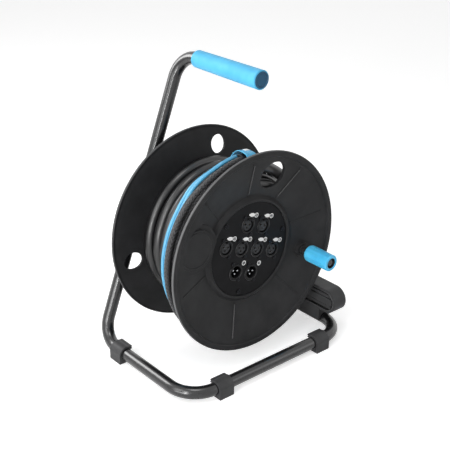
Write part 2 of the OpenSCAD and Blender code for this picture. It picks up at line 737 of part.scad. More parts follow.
module knob_screw() color("#c4c7cb") drum_place() polar(crank_angle, crank_r) {
  difference() {
    rod_y(4.4, pin_front - 4.2, pin_front - 1.5, small);
    for (t = [0, 90]) rotate([0, t + 30, 0]) translate([-2.8, pin_front - 5.2, -0.6]) cube([5.6, 2, 1.2]);
  }
  rod_y(2, pin_front - 1.6, pin_front + 14, small);
}

// ---- Cable entry and wiring inside the barrel ----

gland_r = 12;
gland_y = 96;
gland_angle = 300;
gland_seat_r = barrel_r - 14;
module gland_place() rotate([0, -gland_angle, 0])
  translate([gland_seat_r, gland_y, 0]) rotate([0, 90, 0]) children();

module cable_gland() color("#2c2e31") drum_place() gland_place() difference() {
  union() {
    translate([0, 0, -14]) cylinder(r = gland_r + 3, h = 23.3);
    cylinder(r = gland_r, h = 13.7);
    translate([0, 0, -24]) cylinder(r = gland_r + 1, h = 10 + eps, $fn = 6);
  }
  translate([0, 0, -30]) cylinder(r = cable_rad + fit, h = 60);
}

// The loom's trunk runs beside the hub tube, and the tail starts at it.
loom_r = 8.9;
loom_place_r = hub_r + hub_wall + 2.95 + loom_r;
loom_x = cos(gland_angle) * loom_place_r;
loom_z = sin(gland_angle) * loom_place_r;
tail_in = gland_seat_r - loom_place_r - loom_r - fit;

module inner_tail() color("#151515") drum_place() gland_place()
  translate([0, 0, -tail_in]) cylinder(r = cable_rad, h = tail_in + 13.6);

loom_y = socket_back + 10;

// Laced wiring: a plug behind each socket, a bar along each row, and a trunk to the gland.
module wiring_loom() color("#3a3a3a") drum_place() {
  for (p = concat(socket_places, male_places)) translate([p[0], 0, p[1]])
    rod_y(4.6, socket_back + 4 + fit, loom_y, small);
  for (z = [-socket_pitch_z, 0, socket_pitch_z]) translate([0, loom_y, z]) rotate([0, 90, 0])
    cylinder(r = 3.4, h = socket_pitch_x * (z == 0 ? 3 : 1), center = true, $fn = small);
  translate([loom_x, loom_y, 0]) cylinder(r = 4.2, h = 2 * socket_pitch_z, center = true, $fn = small);
  translate([loom_x, 0, loom_z]) rod_y(loom_r, loom_y - 2, gland_y + 8, small);
}

// ---- Wound cable ----

// First wound layer, from the front flange to the rear one, then one turn back on top.
layer_r = [for (h = [13, 18, 20.5, 21.5, 19, 20]) barrel_r + h];
first_turn_y = 29.5;
turns_down = len(layer_r);
function row_y(k) = first_turn_y + k * cable_pitch + k * (k - 1) / 2 * pitch_growth;
rear_turn_y = row_y(turns_down - 1);
top_r = barrel_r + 38.6;
top_y = 50;
last_y = 33.4;
last_r = barrel_r + 34.6;
rings = 24;
cross_from = 0.7;
cross_to = 0.93;
climb_from = turns_down - 0.34;
climb_to = turns_down - 0.22;
sweep_to = turns_down + 0.26;
settle_from = turns_down + 0.75;
settle_to = turns_down + 1.05;
rise_from = turns_down + 1.1833;
rise_to = turns_down + 1.276;

function ease(x) = let (c = max(0, min(1, x))) c * c * (3 - 2 * c);
function blend3(a, b, x) = a + (b - a) * ease(x);

function crossing(t) = (t - floor(t) - cross_from) / (cross_to - cross_from);
function layer_y(t) = let (k = min(floor(t), turns_down - 1), n = min(k + 1, turns_down - 1))
  blend3(row_y(k), row_y(n), crossing(t));
function layer_rad(t) = let (k = min(floor(t), turns_down - 1), n = min(k + 1, turns_down - 1))
  blend3(layer_r[k], layer_r[n], crossing(t));

function turn_y(t) =
  t < turns_down ? layer_y(t)
  : t < settle_from ? blend3(rear_turn_y, top_y, (t - turns_down) / (sweep_to - turns_down))
  : t < rise_from ? blend3(top_y, last_y, (t - settle_from) / (settle_to - settle_from))
  : blend3(last_y, boot_in[1], (t - rise_from) / (rise_to - rise_from));
function turn_r(t) =
  t < climb_from ? layer_rad(t)
  : t < settle_from ? blend3(layer_rad(climb_from), top_r, (t - climb_from) / (climb_to - climb_from))
  : t < rise_from ? blend3(top_r, last_r, (t - settle_from) / (settle_to - settle_from))
  : last_r + (rise_r - last_r) * pow(min(1, (t - rise_from) / (rise_to - rise_from)), 2);

function polar_point(angle, r, y) = [r * cos(angle), y, r * sin(angle)];
function turn_point(t) = polar_point(360 * t, turn_r(t), turn_y(t));
function tangent_dir(angle) = [-sin(angle), 0, cos(angle)];

// Where the boot and its strap stand: radius and y, at the angle they are tilted about.
boot_in = [top_r + 9.4, 22.8];
boot_start = 106.5;
tilt_angle = 111;
boot_tilt = 12;
tilt_pivot = polar_point(tilt_angle, boot_in[0], 0);
function turn_about_y(v) = [v[0] * cos(boot_tilt) + v[2] * sin(boot_tilt), v[1],
                            v[2] * cos(boot_tilt) - v[0] * sin(boot_tilt)];
function tilted(p) = tilt_pivot + turn_about_y(p - tilt_pivot);
module tilt() translate(tilt_pivot) rotate([0, boot_tilt, 0]) translate(-tilt_pivot) children();
start_run = cable_d;
wind_steps = floor(rise_from * rings);
boot_end_point = tilted(polar_point(boot_start, boot_in[0], boot_in[1]));
boot_run_point = boot_end_point - cable_d * turn_about_y(tangent_dir(boot_start));
rise_r = norm([boot_run_point[0], boot_run_point[2]]);
centre_line = concat(
  [turn_point(0) - start_run * tangent_dir(0)],
  [for (i = [0 : wind_steps]) turn_point(i / rings)],
  [for (i = [0 : 3]) turn_point(rise_from + (rise_to - rise_from) * (i + 0.5) / 4.4)],
  [boot_run_point, boot_end_point]
);

function unit(v) = v / norm(v);
function heading(pts, i) = i == 0 ? unit(pts[1] - pts[0])
  : i == len(pts) - 1 ? unit(pts[i] - pts[i - 1])
  : unit(pts[i + 1] - pts[i - 1]);
function ring_points(pts, i, r, sides) =
  let (h = heading(pts, i), out = unit([pts[i][0], 0, pts[i][2]]), side = unit(cross(h, out)), up = cross(side, h))
  [for (s = [0 : sides - 1]) pts[i] + r * (cos(360 * s / sides) * up + sin(360 * s / sides) * side)];

module swept_tube(pts, r, sides) {
  n = len(pts);
  polyhedron(
    points = [for (i = [0 : n - 1]) each ring_points(pts, i, r, sides)],
    faces = concat(
      [[for (s = [0 : sides - 1]) s]],
      [for (i = [0 : n - 2], s = [0 : sides - 1]) each let (a = i * sides + s, b = i * sides + (s + 1) % sides)
        [[a, a + sides, b], [b, a + sides, b + sides]]],
      [[for (s = [sides - 1 : -1 : 0]) (n - 1) * sides + s]]
    )
  );
}

// Least gap of the winding to itself, over points at least half a turn apart.
least_gap = min([
  for (i = [0 : len(centre_line) - 1]) for (j = [i + rings / 2 : 1 : len(centre_line) - 1])
    norm(centre_line[i] - centre_line[j])
]) - cable_d;
echo("least gap of the winding to itself, mm:", least_gap);

module cable_turns() color("#17181a") drum_place() swept_tube(centre_line, cable_rad, 6);

// The hidden inner layers, as one plain body, with the stub that the wound layer goes on from.
core_gap = 0.35;
stub_bend = 45;
function core_r(k) = layer_r[k] * cos(180 / rings) - cable_rad - core_gap;
module cable_core() color("#101112") drum_place() difference() {
  union() {
    turned(concat(
      [[barrel_r, 25.2], [core_r(0), 25]],
      [for (k = [0 : turns_down - 1]) [core_r(k), row_y(k)]],
      [[core_r(turns_down - 1), rear_turn_y + 3.5], [barrel_r, rear_turn_y + 1.5]]
    ));
    translate([layer_r[0] - stub_bend, first_turn_y, -start_run - core_gap / 2]) rotate([-90, 0, 0])
      rotate_extrude(angle = 75) translate([stub_bend, 0]) circle(r = cable_rad, $fn = small);
  }
  rod_y(barrel_r, 0, first_turn_y + cable_d);
  turned([[barrel_r - 4, -1], [dish_r0, -1], [dish_r0, dish_y0 + flange_wall + core_gap],
          [barrel_r - 4, face_y(barrel_r - 4) + flange_wall + core_gap]]);
  gland_place() cylinder(r = gland_r + 0.5, h = 14.2);
}

// ---- Breakout, tails and strap ----

boot_arc = 9.5;

module arc_y(from, arc) rotate([0, -from, 0]) rotate([-90, 0, 0]) mirror([0, 1, 0])
  rotate_extrude(angle = arc) children();

// Section of the boot: [radius, y] from the trunk's centre, wide where the tails leave it side by side.
module breakout_boot() color("#141517") drum_place() tilt() arc_y(boot_start + 0.1, boot_arc) translate(boot_in)
  polygon([[-8.6, -3.2], [-4.4, -7.4], [5, -8.8], [15, -6], [16.5, -4.4], [18, -1.3], [18, 2.7],
           [13.5, 12.2], [6, 20.8], [0, 21.2], [-3.2, 18.2], [-8.6, 5.2]]);

// Each tail glides from its place in the boot to its place on the wound cable, its y ahead of its radius.
tail_from = boot_start + 0.1 + boot_arc + 0.1;
tail_to = 262;
glide = 42;
tail_gap = 0.35;
tail_lift = 3.4;
blue_r = top_r + cable_rad + tail_d / 2 + tail_gap;
braid_r = last_r + cable_rad + braid_d / 2 + tail_gap;
blue_places = [
  [boot_in + [7.1, 13.4], [blue_r + 0.2, top_y + 0.5], 1.6],
  [boot_in + [12.4, 8.2], [blue_r - 0.3, top_y - 5.6], 1.5]
];
braid_places = [
  [boot_in + [11, -1.8], [braid_r + 10.9, last_y - 3], 1],
  [boot_in + [3.2, 2.8], [braid_r + 6.1, last_y + 4.2], 1.2],
  [boot_in + [2.8, -5.7], [braid_r, last_y - 1.6], 1]
];

function tail_point(place, angle) =
  let (x = (angle - tail_from - 6) / glide)
  polar_point(angle, blend3(place[0][0] + tail_lift, place[1][0], x), blend3(place[0][1], place[1][1], x * place[2]));
function tail_line(place, d) =
  let (p = tilted(polar_point(tail_from, place[0][0], place[0][1])), q = tail_point(place, tail_to))
  concat(
    [p, p + d * turn_about_y(tangent_dir(tail_from))],
    [for (a = [tail_from + 7.5 : 7.5 : tail_to - 5]) tail_point(place, a)],
    [q, q + d * tangent_dir(tail_to)]
  );

module blue_tails() color("#4fc3ee") drum_place()
  for (p = blue_places) swept_tube(tail_line(p, tail_d), tail_d / 2, 6);
module braided_tails() color("#2a2a2c") drum_place()
  for (p = braid_places) swept_tube(tail_line(p, braid_d), braid_d / 2, 6);

// The strap's loop round the boot, slack at the top: points of [radius, y] from the trunk's centre.
strap_top = 19.8;
strap_inner = [[-9.2, 5.6], [-9.2, -3.4], [-4.7, -8], [5, -10], [13, -11], [17, -9.4], [19.2, -5], [strap_top, 2.2],
               [strap_top, 8.2], [16.6, 14.8], [9, 20.6], [3, 22.2], [-0.6, 22.1], [-4.1, 18.8]];
strap_angle = tilt_angle;

module strap_place() tilt() rotate([0, -strap_angle, 0]) translate([0, 0, -strap_w / 2]) children();

module cable_strap() color("#58c4f0") drum_place() strap_place() translate(boot_in)
  linear_extrude(strap_w) difference() {
  offset(delta = strap_t) polygon(strap_inner);
  polygon(strap_inner);
}

module strap_label() color("#e8eef2") drum_place() strap_place()
  translate([boot_in[0] + strap_top + strap_t + fit / 2, boot_in[1] + 2.8, 2]) cube([0.4, 6.8, 8]);

// ---- Output ----
frame_tube();
tube_end_plug();
handle_grip();
grip_end_cap();
foot_clips();
bearing_bracket();
tube_clamp();
clamp_screws();
beam_screws();
axle();
axle_washer();
axle_nut();
thrust_washer();
axle_circlip();
front_flange();
rear_flange();
drum_barrel();
flange_screws();
front_bush();
rear_bush();
connector_panel();
panel_screws();
female_sockets();
female_inserts();
female_contacts();
latch_tab_1();
latch_tab_2();
latch_tab_3();
latch_tab_4();
latch_tab_5();
latch_tab_6();
male_sockets();
male_inserts();
male_pins();
socket_screws();
crank_pin();
crank_nut();
crank_knob();
knob_washer();
knob_screw();
cable_gland();
inner_tail();
wiring_loom();
cable_core();
cable_turns();
breakout_boot();
blue_tails();
braided_tails();
cable_strap();
strap_label();
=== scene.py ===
"""Looks of the XLR stage cable drum: materials, the wound cable with its tails, strap and printed marks."""
import bpy
import json
import math
from mathutils import Matrix, Vector

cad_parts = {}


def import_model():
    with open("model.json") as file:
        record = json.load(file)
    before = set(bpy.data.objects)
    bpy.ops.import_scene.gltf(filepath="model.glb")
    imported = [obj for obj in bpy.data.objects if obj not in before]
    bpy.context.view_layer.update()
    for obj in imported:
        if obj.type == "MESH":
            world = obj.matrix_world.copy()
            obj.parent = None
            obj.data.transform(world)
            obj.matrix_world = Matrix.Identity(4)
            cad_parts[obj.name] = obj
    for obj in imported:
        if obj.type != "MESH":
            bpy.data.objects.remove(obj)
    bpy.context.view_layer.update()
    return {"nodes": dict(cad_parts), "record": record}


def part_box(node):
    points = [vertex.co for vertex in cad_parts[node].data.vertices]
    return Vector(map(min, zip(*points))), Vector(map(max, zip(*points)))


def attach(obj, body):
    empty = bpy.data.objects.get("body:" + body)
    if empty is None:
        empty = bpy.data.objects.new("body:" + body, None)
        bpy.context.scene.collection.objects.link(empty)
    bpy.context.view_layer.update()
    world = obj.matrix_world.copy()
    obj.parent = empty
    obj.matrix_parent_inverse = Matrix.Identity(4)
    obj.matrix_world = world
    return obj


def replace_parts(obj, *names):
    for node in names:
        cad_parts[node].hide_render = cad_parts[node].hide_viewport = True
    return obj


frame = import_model()
MM = 0.001

# ---------------------------------------------------------------- places, in millimetres

FRONT_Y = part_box("front_flange")[0][1] / MM
AXLE_Z = (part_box("front_bush")[0][2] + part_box("front_bush")[1][2]) / 2 / MM
TURN = math.radians(17.5)
COS_T, SIN_T = math.cos(TURN), math.sin(TURN)


def drum_point(x, y, z):
    """A point of the drum's own frame, in metres in the row frame."""
    return Vector((x * COS_T + z * SIN_T, y + FRONT_Y, -x * SIN_T + z * COS_T + AXLE_Z)) * MM


def polar(angle, r, y):
    a = math.radians(angle)
    return (r * math.cos(a), y, r * math.sin(a))


def ease(x):
    x = max(0.0, min(1.0, x))
    return x * x * (3 - 2 * x)


def blend(a, b, x):
    return a + (b - a) * ease(x)


# ---------------------------------------------------------------- materials


def srgb(r, g, b):
    def one(v):
        v /= 255.0
        return v / 12.92 if v <= 0.04045 else ((v + 0.055) / 1.055) ** 2.4
    return (one(r), one(g), one(b), 1.0)


class Finish:
    """A procedural material: one shader and the small graphs that feed it."""

    def __init__(self, name, **values):
        self.material = bpy.data.materials.new(name)
        self.material.use_nodes = True
        self.tree = self.material.node_tree
        self.shader = self.tree.nodes["Principled BSDF"]
        self.coords = self.tree.nodes.new("ShaderNodeTexCoord")
        self.normal = None
        for key, value in values.items():
            self.shader.inputs[key.replace("_", " ")].default_value = value

    def node(self, kind, **inputs):
        n = self.tree.nodes.new(kind)
        for key, value in inputs.items():
            self.feed(n.inputs[key.replace("_", " ")], value)
        return n

    def feed(self, socket, value):
        if isinstance(value, bpy.types.NodeSocket):
            self.tree.links.new(value, socket)
        else:
            socket.default_value = value

    def math(self, operation, a, b=0.0, c=0.0):
        n = self.tree.nodes.new("ShaderNodeMath")
        n.operation = operation
        for socket, value in zip(n.inputs, (a, b, c)):
            self.feed(socket, value)
        return n.outputs[0]

    def place(self, coord="Object", stretch=(1, 1, 1)):
        n = self.node("ShaderNodeMapping", Vector=self.coords.outputs[coord])
        n.inputs["Scale"].default_value = stretch
        return n.outputs[0]

    def noise(self, scale, detail=3.0, roughness=0.55, coord="Object", stretch=(1, 1, 1)):
        return self.node("ShaderNodeTexNoise", Vector=self.place(coord, stretch), Scale=scale,
                         Detail=detail, Roughness=roughness).outputs["Fac"]

    def cells(self, scale, feature="F1", smooth=0.0):
        n = self.tree.nodes.new("ShaderNodeTexVoronoi")
        n.feature = feature
        self.feed(n.inputs["Vector"], self.place())
        n.inputs["Scale"].default_value = scale
        return n.outputs["Distance"]

    def span(self, value, lo, hi, to_lo=0.0, to_hi=1.0):
        n = self.tree.nodes.new("ShaderNodeMapRange")
        n.clamp = True
        for i, v in enumerate((value, lo, hi, to_lo, to_hi)):
            self.feed(n.inputs[i], v)
        return n.outputs[0]

    def mix(self, fac, a, b):
        n = self.tree.nodes.new("ShaderNodeMix")
        n.data_type = "RGBA"
        self.feed(n.inputs[0], fac)
        self.feed(n.inputs[6], a)
        self.feed(n.inputs[7], b)
        return n.outputs[2]

    def colour(self, value):
        self.feed(self.shader.inputs["Base Color"], value)

    def rough(self, value):
        self.feed(self.shader.inputs["Roughness"], value)

    def bump(self, height, strength, distance):
        n = self.node("ShaderNodeBump", Strength=strength, Distance=distance, Height=height)
        if self.normal:
            self.feed(n.inputs["Normal"], self.normal)
        self.normal = n.outputs[0]
        self.feed(self.shader.inputs["Normal"], self.normal)

    def soft_edges(self, radius):
        n = self.tree.nodes.new("ShaderNodeBevel")
        n.samples = 6
        n.inputs["Radius"].default_value = radius
        self.normal = n.outputs[0]

    def uv(self):
        n = self.node("ShaderNodeSeparateXYZ", Vector=self.coords.outputs["UV"])
        return n.outputs[0], n.outputs[1]


def moulded(name, dark, light, grain=1100.0, depth=0.00006, rough=(0.42, 0.56), **values):
    """Moulded plastic with a fine leather grain, faint flow marks and handling haze."""
    f = Finish(name, **values)
    f.soft_edges(0.0007)
    f.colour(f.mix(f.span(f.noise(26.0, 5.0, 0.6), 0.35, 0.68), dark, light))
    haze = f.span(f.noise(75.0, 4.0, 0.65), 0.3, 0.7, rough[0], rough[1])
    f.rough(haze)
    f.bump(f.cells(grain), 0.35, depth)
    f.bump(f.noise(grain * 0.55, 4.0, 0.6), 0.3, depth)
    return f


def painted_rim_highlight(f, node, dark, light, rim_highlight_colour):
    """Gives a flange its finish, with a painted highlight: paler colour on the outer edge, where the rim catches the
    light.
    """
    obj = frame["nodes"][node]
    (x0, _, z0), (x1, _, z1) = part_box(node)
    back = obj.matrix_world.inverted()
    centre = back @ Vector(((x0 + x1) / 2, 0, (z0 + z1) / 2))
    n = f.node("ShaderNodeSeparateXYZ", Vector=f.coords.outputs["Object"])
    dx = f.math("SUBTRACT", n.outputs[0], centre.x)
    dz = f.math("SUBTRACT", n.outputs[2], centre.z)
    r = f.math("SQRT", f.math("ADD", f.math("MULTIPLY", dx, dx), f.math("MULTIPLY", dz, dz)))
    full = (x1 - x0) / 2
    # painted highlight: edge masks the outer rim, which takes the paler highlight colour
    edge = f.span(r, full - 0.0009, full - 0.0005)
    f.colour(f.mix(edge, f.mix(f.span(f.noise(26.0, 5.0, 0.6), 0.35, 0.68), dark, light), rim_highlight_colour))
    for slot in obj.material_slots:
        slot.material = f.material


def brushed(name, colour, rough, stretch, **values):
    """Turned or drawn metal with fine lines and a duller bloom here and there."""
    f = Finish(name, Metallic=1.0, **values)
    f.soft_edges(0.0003)
    bloom = f.span(f.noise(160.0, 4.0, 0.6), 0.35, 0.7)
    shade = tuple(c * 0.72 for c in colour[:3]) + (1.0,)
    f.colour(f.mix(bloom, colour, shade))
    f.rough(f.span(f.noise(900.0, 3.0, 0.6, stretch=stretch), 0.3, 0.7, rough * 0.75, rough * 1.35))
    f.bump(f.noise(1500.0, 2.0, 0.5, stretch=stretch), 0.12, 0.00003)
    return f


def powder_coat():
    f = Finish("tube_coat", Coat_Weight=1.0, Coat_Roughness=0.22, IOR=1.5, Specular_IOR_Level=0.3)
    f.colour(f.mix(f.span(f.noise(40.0, 4.0), 0.35, 0.7), srgb(14, 14, 15), srgb(20, 20, 22)))
    f.rough(f.span(f.noise(60.0, 3.0, 0.5), 0.3, 0.72, 0.24, 0.29))
    f.bump(f.noise(1700.0, 2.0, 0.5), 0.03, 0.00001)
    return f


def rubber_blue():
    f = Finish("grip_rubber", IOR=1.46, Sheen_Weight=0.12, Sheen_Roughness=0.5)
    f.colour(f.mix(f.span(f.noise(30.0, 5.0, 0.6), 0.3, 0.72), srgb(66, 168, 212), srgb(84, 186, 230)))
    f.rough(f.span(f.noise(90.0, 4.0, 0.6), 0.3, 0.7, 0.48, 0.66))
    f.bump(f.noise(1300.0, 4.0, 0.65), 0.35, 0.00010)
    f.bump(f.noise(60.0, 2.0), 0.08, 0.0006)
    return f


def knob_blue():
    f = Finish("knob_plastic", IOR=1.49, Subsurface_Weight=0.12, Subsurface_Scale=0.004,
               Coat_Weight=0.25, Coat_Roughness=0.2)
    f.colour(f.mix(f.span(f.noise(45.0, 4.0), 0.3, 0.7), srgb(72, 188, 240), srgb(92, 208, 255)))
    f.rough(f.span(f.noise(140.0, 4.0, 0.6), 0.3, 0.7, 0.26, 0.42))
    f.bump(f.noise(900.0, 3.0), 0.12, 0.00005)
    return f


def jacket(name, dark, light, rough, lay=0.012, depth=0.00012):
    """Extruded cable jacket: faint pull lines along it, dusty scuffs, and the cores' lay under the skin."""
    f = Finish(name, IOR=1.48, Specular_IOR_Level=0.75)
    u, v = f.uv()
    scuff = f.span(f.noise(38.0, 6.0, 0.7), 0.46, 0.72)
    f.colour(f.mix(scuff, dark, light))
    f.rough(f.span(f.noise(110.0, 5.0, 0.65), 0.3, 0.7, rough - 0.08, rough + 0.02))
    pull = f.node("ShaderNodeTexNoise", Scale=1.0, Detail=2.0, Roughness=0.5,
                  Vector=f.node("ShaderNodeCombineXYZ", X=f.math("MULTIPLY", u, 14.0),
                                Y=f.math("MULTIPLY", v, 26.0), Z=0.0).outputs[0]).outputs["Fac"]
    f.bump(pull, 0.2, 0.00008)
    twist = f.math("ADD", f.math("MULTIPLY", u, 2 * math.pi / lay), f.math("MULTIPLY", v, 2 * math.pi * 6))
    f.bump(f.math("SINE", twist), 0.22, depth)
    f.bump(f.noise(1500.0, 3.0, 0.6), 0.2, 0.00003)
    return f


def plaited(f, u, v, size_u, size_v):
    """Height of threads that pass over and under each other along two directions."""
    a = f.math("ADD", f.math("DIVIDE", u, size_u), f.math("DIVIDE", v, size_v))
    b = f.math("SUBTRACT", f.math("DIVIDE", u, size_u), f.math("DIVIDE", v, size_v))
    over = f.math("PINGPONG", f.math("ADD", f.math("FLOOR", a), f.math("FLOOR", b)), 1.0)
    ridge_a = f.math("SINE", f.math("MULTIPLY", f.math("FRACT", a), math.pi))
    ridge_b = f.math("SINE", f.math("MULTIPLY", f.math("FRACT", b), math.pi))
    first = f.math("MULTIPLY", over, ridge_a)
    second = f.math("MULTIPLY", f.math("SUBTRACT", 1.0, over), ridge_b)
    return f.math("ADD", first, second), over


def braid_sleeve():
    f = Finish("braid_sleeve", IOR=1.5, Sheen_Weight=0.2, Sheen_Roughness=0.4)
    u, v = f.uv()
    height, over = plaited(f, u, v, 0.0062, 1.0 / 6)
    fine = f.math("SINE", f.math("MULTIPLY", f.math("ADD", f.math("MULTIPLY", u, 1.0 / 0.0011),
                                                  f.math("MULTIPLY", v, 34.0)), 2 * math.pi))
    # painted shade and highlight: colour follows thread height, near-black in the dips between threads and paler on
    # their crests
    f.colour(f.mix(f.span(height, 0.45, 0.95), srgb(4, 4, 5), srgb(58, 58, 61)))
    f.rough(f.span(f.noise(240.0, 3.0), 0.3, 0.7, 0.4, 0.58))
    f.bump(height, 0.9, 0.0006)
    f.bump(fine, 0.25, 0.00012)
    return f


def webbing():
    f = Finish("strap_webbing", IOR=1.45, Sheen_Weight=0.35, Sheen_Roughness=0.45)
    u, v = f.uv()
    height, over = plaited(f, u, v, 0.0017, 0.0013)
    # painted shade and highlight: colour follows thread height, darker blue in the dips of the weave and paler on its
    # crests
    f.colour(f.mix(f.span(height, 0.0, 0.9), srgb(58, 158, 212), srgb(88, 196, 240)))
    f.rough(f.span(f.noise(260.0, 3.0), 0.3, 0.7, 0.62, 0.8))
    f.bump(height, 0.8, 0.00028)
    f.bump(f.noise(2600.0, 3.0, 0.7), 0.3, 0.00008)
    return f


def print_white():
    f = Finish("printed_white", IOR=1.45)
    f.colour(f.mix(f.span(f.noise(1400.0, 3.0), 0.55, 0.85), srgb(250, 250, 249), srgb(226, 226, 225)))
    f.rough(f.span(f.noise(500.0, 2.0), 0.3, 0.7, 0.45, 0.6))
    f.bump(f.noise(2200.0, 2.0), 0.15, 0.00002)
    return f


def shrink_sleeve():
    f = Finish("shrink_sleeve", IOR=1.5, Specular_IOR_Level=0.3)
    f.colour(f.mix(f.span(f.noise(70.0, 4.0), 0.35, 0.7), srgb(13, 13, 14), srgb(24, 24, 26)))
    f.rough(f.span(f.noise(160.0, 4.0), 0.3, 0.7, 0.36, 0.52))
    f.bump(f.noise(130.0, 4.0, 0.6), 0.4, 0.0007)
    f.bump(f.noise(900.0, 3.0, 0.6), 0.2, 0.00008)
    return f


def anodised_panel():
    """Black sheet panel: very fine even grain, faint long streaks, handling haze."""
    f = Finish("panel_sheet", IOR=1.5, Metallic=0.0, Specular_IOR_Level=0.15)
    f.colour(f.mix(f.span(f.noise(22.0, 4.0, 0.6), 0.35, 0.68), srgb(10, 10, 12), srgb(17, 17, 19)))
    f.rough(f.span(f.noise(60.0, 5.0, 0.65), 0.3, 0.7, 0.44, 0.58))
    f.bump(f.noise(2400.0, 2.0, 0.5), 0.25, 0.00004)
    return f


CAD_FINISH = {
    "tube_black": powder_coat(),
    "blue_rubber": rubber_blue(),
    "teal_plastic": moulded("cap_teal", srgb(12, 72, 104), srgb(20, 86, 122), 1400.0, 0.00004, (0.34, 0.48), IOR=1.48),
    "black_plastic": moulded("moulded_black", srgb(40, 40, 41), srgb(50, 50, 51), 1000.0, 0.00005, (0.36, 0.48),
                             IOR=1.5, Specular_IOR_Level=0.16),
    "dark_plastic": moulded("moulded_dark", srgb(50, 51, 53), srgb(60, 61, 63), 1500.0, 0.00004, (0.36, 0.48), IOR=1.5,
                            Specular_IOR_Level=0.2),
    "bush_plastic": moulded("bush_plastic", srgb(206, 202, 188), srgb(222, 219, 208), 1500.0, 0.00003, (0.36, 0.46),
                            IOR=1.5),
    "steel": brushed("zinc_steel", srgb(176, 179, 184), 0.3, (1.0, 1.0, 9.0)),
    "dark_steel": brushed("black_steel", srgb(50, 51, 54), 0.32, (1.0, 1.0, 7.0)),
    "panel_black": anodised_panel(),
    "socket_black": moulded("socket_lacquer", srgb(13, 13, 14), srgb(19, 19, 20), 1900.0, 0.00003, (0.28, 0.4), IOR=1.5,
                             Specular_IOR_Level=0.3),
    "contact_metal": brushed("contact_brass", srgb(112, 96, 62), 0.34, (1.0, 6.0, 1.0)),
    "pin_metal": brushed("pin_silver", srgb(222, 224, 228), 0.2, (1.0, 6.0, 1.0)),
    "blue_plastic": knob_blue(),
}
CABLE = jacket("cable_jacket", srgb(15, 15, 16), srgb(24, 24, 25), 0.36, 0.05, 0.00006)
BLUE_CABLE = jacket("blue_jacket", srgb(78, 160, 200), srgb(96, 178, 214), 0.36, 0.02, 0.00004)
BRAID = braid_sleeve()
WEBBING = webbing()
PRINT = print_white()
SHRINK = shrink_sleeve()
CAD_FINISH["cable_black"] = CABLE
CAD_FINISH["braid_black"] = BRAID
CAD_FINISH["cable_blue"] = BLUE_CABLE
CAD_FINISH["strap_blue"] = WEBBING
CAD_FINISH["label_white"] = PRINT

for row in frame["record"]["subparts"]:
    node = frame["nodes"].get(row["node"])
    if node is not None and row["material_slot"] in CAD_FINISH:
        for slot in node.material_slots:
            slot.material = CAD_FINISH[row["material_slot"]].material
KNOB_STEEL = brushed("knob_steel", srgb(110, 112, 116), 0.3, (1.0, 7.0, 1.0))
# painted light: the bracket, tube clamps and foot clips get a paler copy of the black plastic, standing in for the
# light from the left on them
BRACKET_PAINTED_LIGHT = moulded("bracket_painted_light", srgb(56, 56, 57), srgb(68, 68, 69), 1000.0, 0.00005, (0.36, 0.48), IOR=1.5,
                  Specular_IOR_Level=0.2)
# painted highlight on the outer edge of both flanges
painted_rim_highlight(moulded("front_black_painted_rim_highlight", srgb(38, 38, 39), srgb(48, 48, 49), 1000.0, 0.00005, (0.36, 0.48), IOR=1.5,
                     Specular_IOR_Level=0.16), "front_flange", srgb(38, 38, 39), srgb(48, 48, 49), srgb(98, 98, 99))
# painted shade: the rear flange gets a darker copy of the front flange's black
painted_rim_highlight(moulded("rear_black_painted_shade", srgb(30, 30, 31), srgb(38, 38, 39), 1000.0, 0.00005, (0.36, 0.48), IOR=1.5,
                     Specular_IOR_Level=0.12), "rear_flange", srgb(30, 30, 31), srgb(38, 38, 39), srgb(76, 76, 77))
for name, finish in (("crank_pin", CAD_FINISH["black_plastic"]), ("knob_screw", KNOB_STEEL),
                     ("bearing_bracket", BRACKET_PAINTED_LIGHT), ("tube_clamp", BRACKET_PAINTED_LIGHT), ("foot_clips", BRACKET_PAINTED_LIGHT)):
    for slot in frame["nodes"][name].material_slots:
        slot.material = finish.material

# ---------------------------------------------------------------- mesh helpers


def mesh_piece(name, points, faces, finish, body, uvs=None, smooth=True):
    """A piece from points in the row frame, with its finish and body. uvs: one pair per face corner."""
    mesh = bpy.data.meshes.new(name)
    mesh.from_pydata([tuple(p) for p in points], [], faces)
    if uvs:
        layer = mesh.uv_layers.new(name="UVMap")
        flat = [c for face in uvs for corner in face for c in corner]
        layer.data.foreach_set("uv", flat)
    mesh.polygons.foreach_set("use_smooth", [smooth] * len(mesh.polygons))
    mesh.materials.append(finish.material)
    mesh.update()
    piece = bpy.data.objects.new(name, mesh)
    bpy.context.scene.collection.objects.link(piece)
    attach(piece, body)
    return piece


def sweep_frames(line):
    """Heading, outward and sideways direction at each point of a line in the drum's frame."""
    n = len(line)
    for i in range(n):
        h = (line[min(i + 1, n - 1)] - line[max(i - 1, 0)]).normalized()
        out = Vector((line[i].x, 0, line[i].z)).normalized()
        side = h.cross(out).normalized()
        yield h, side.cross(h).normalized(), side


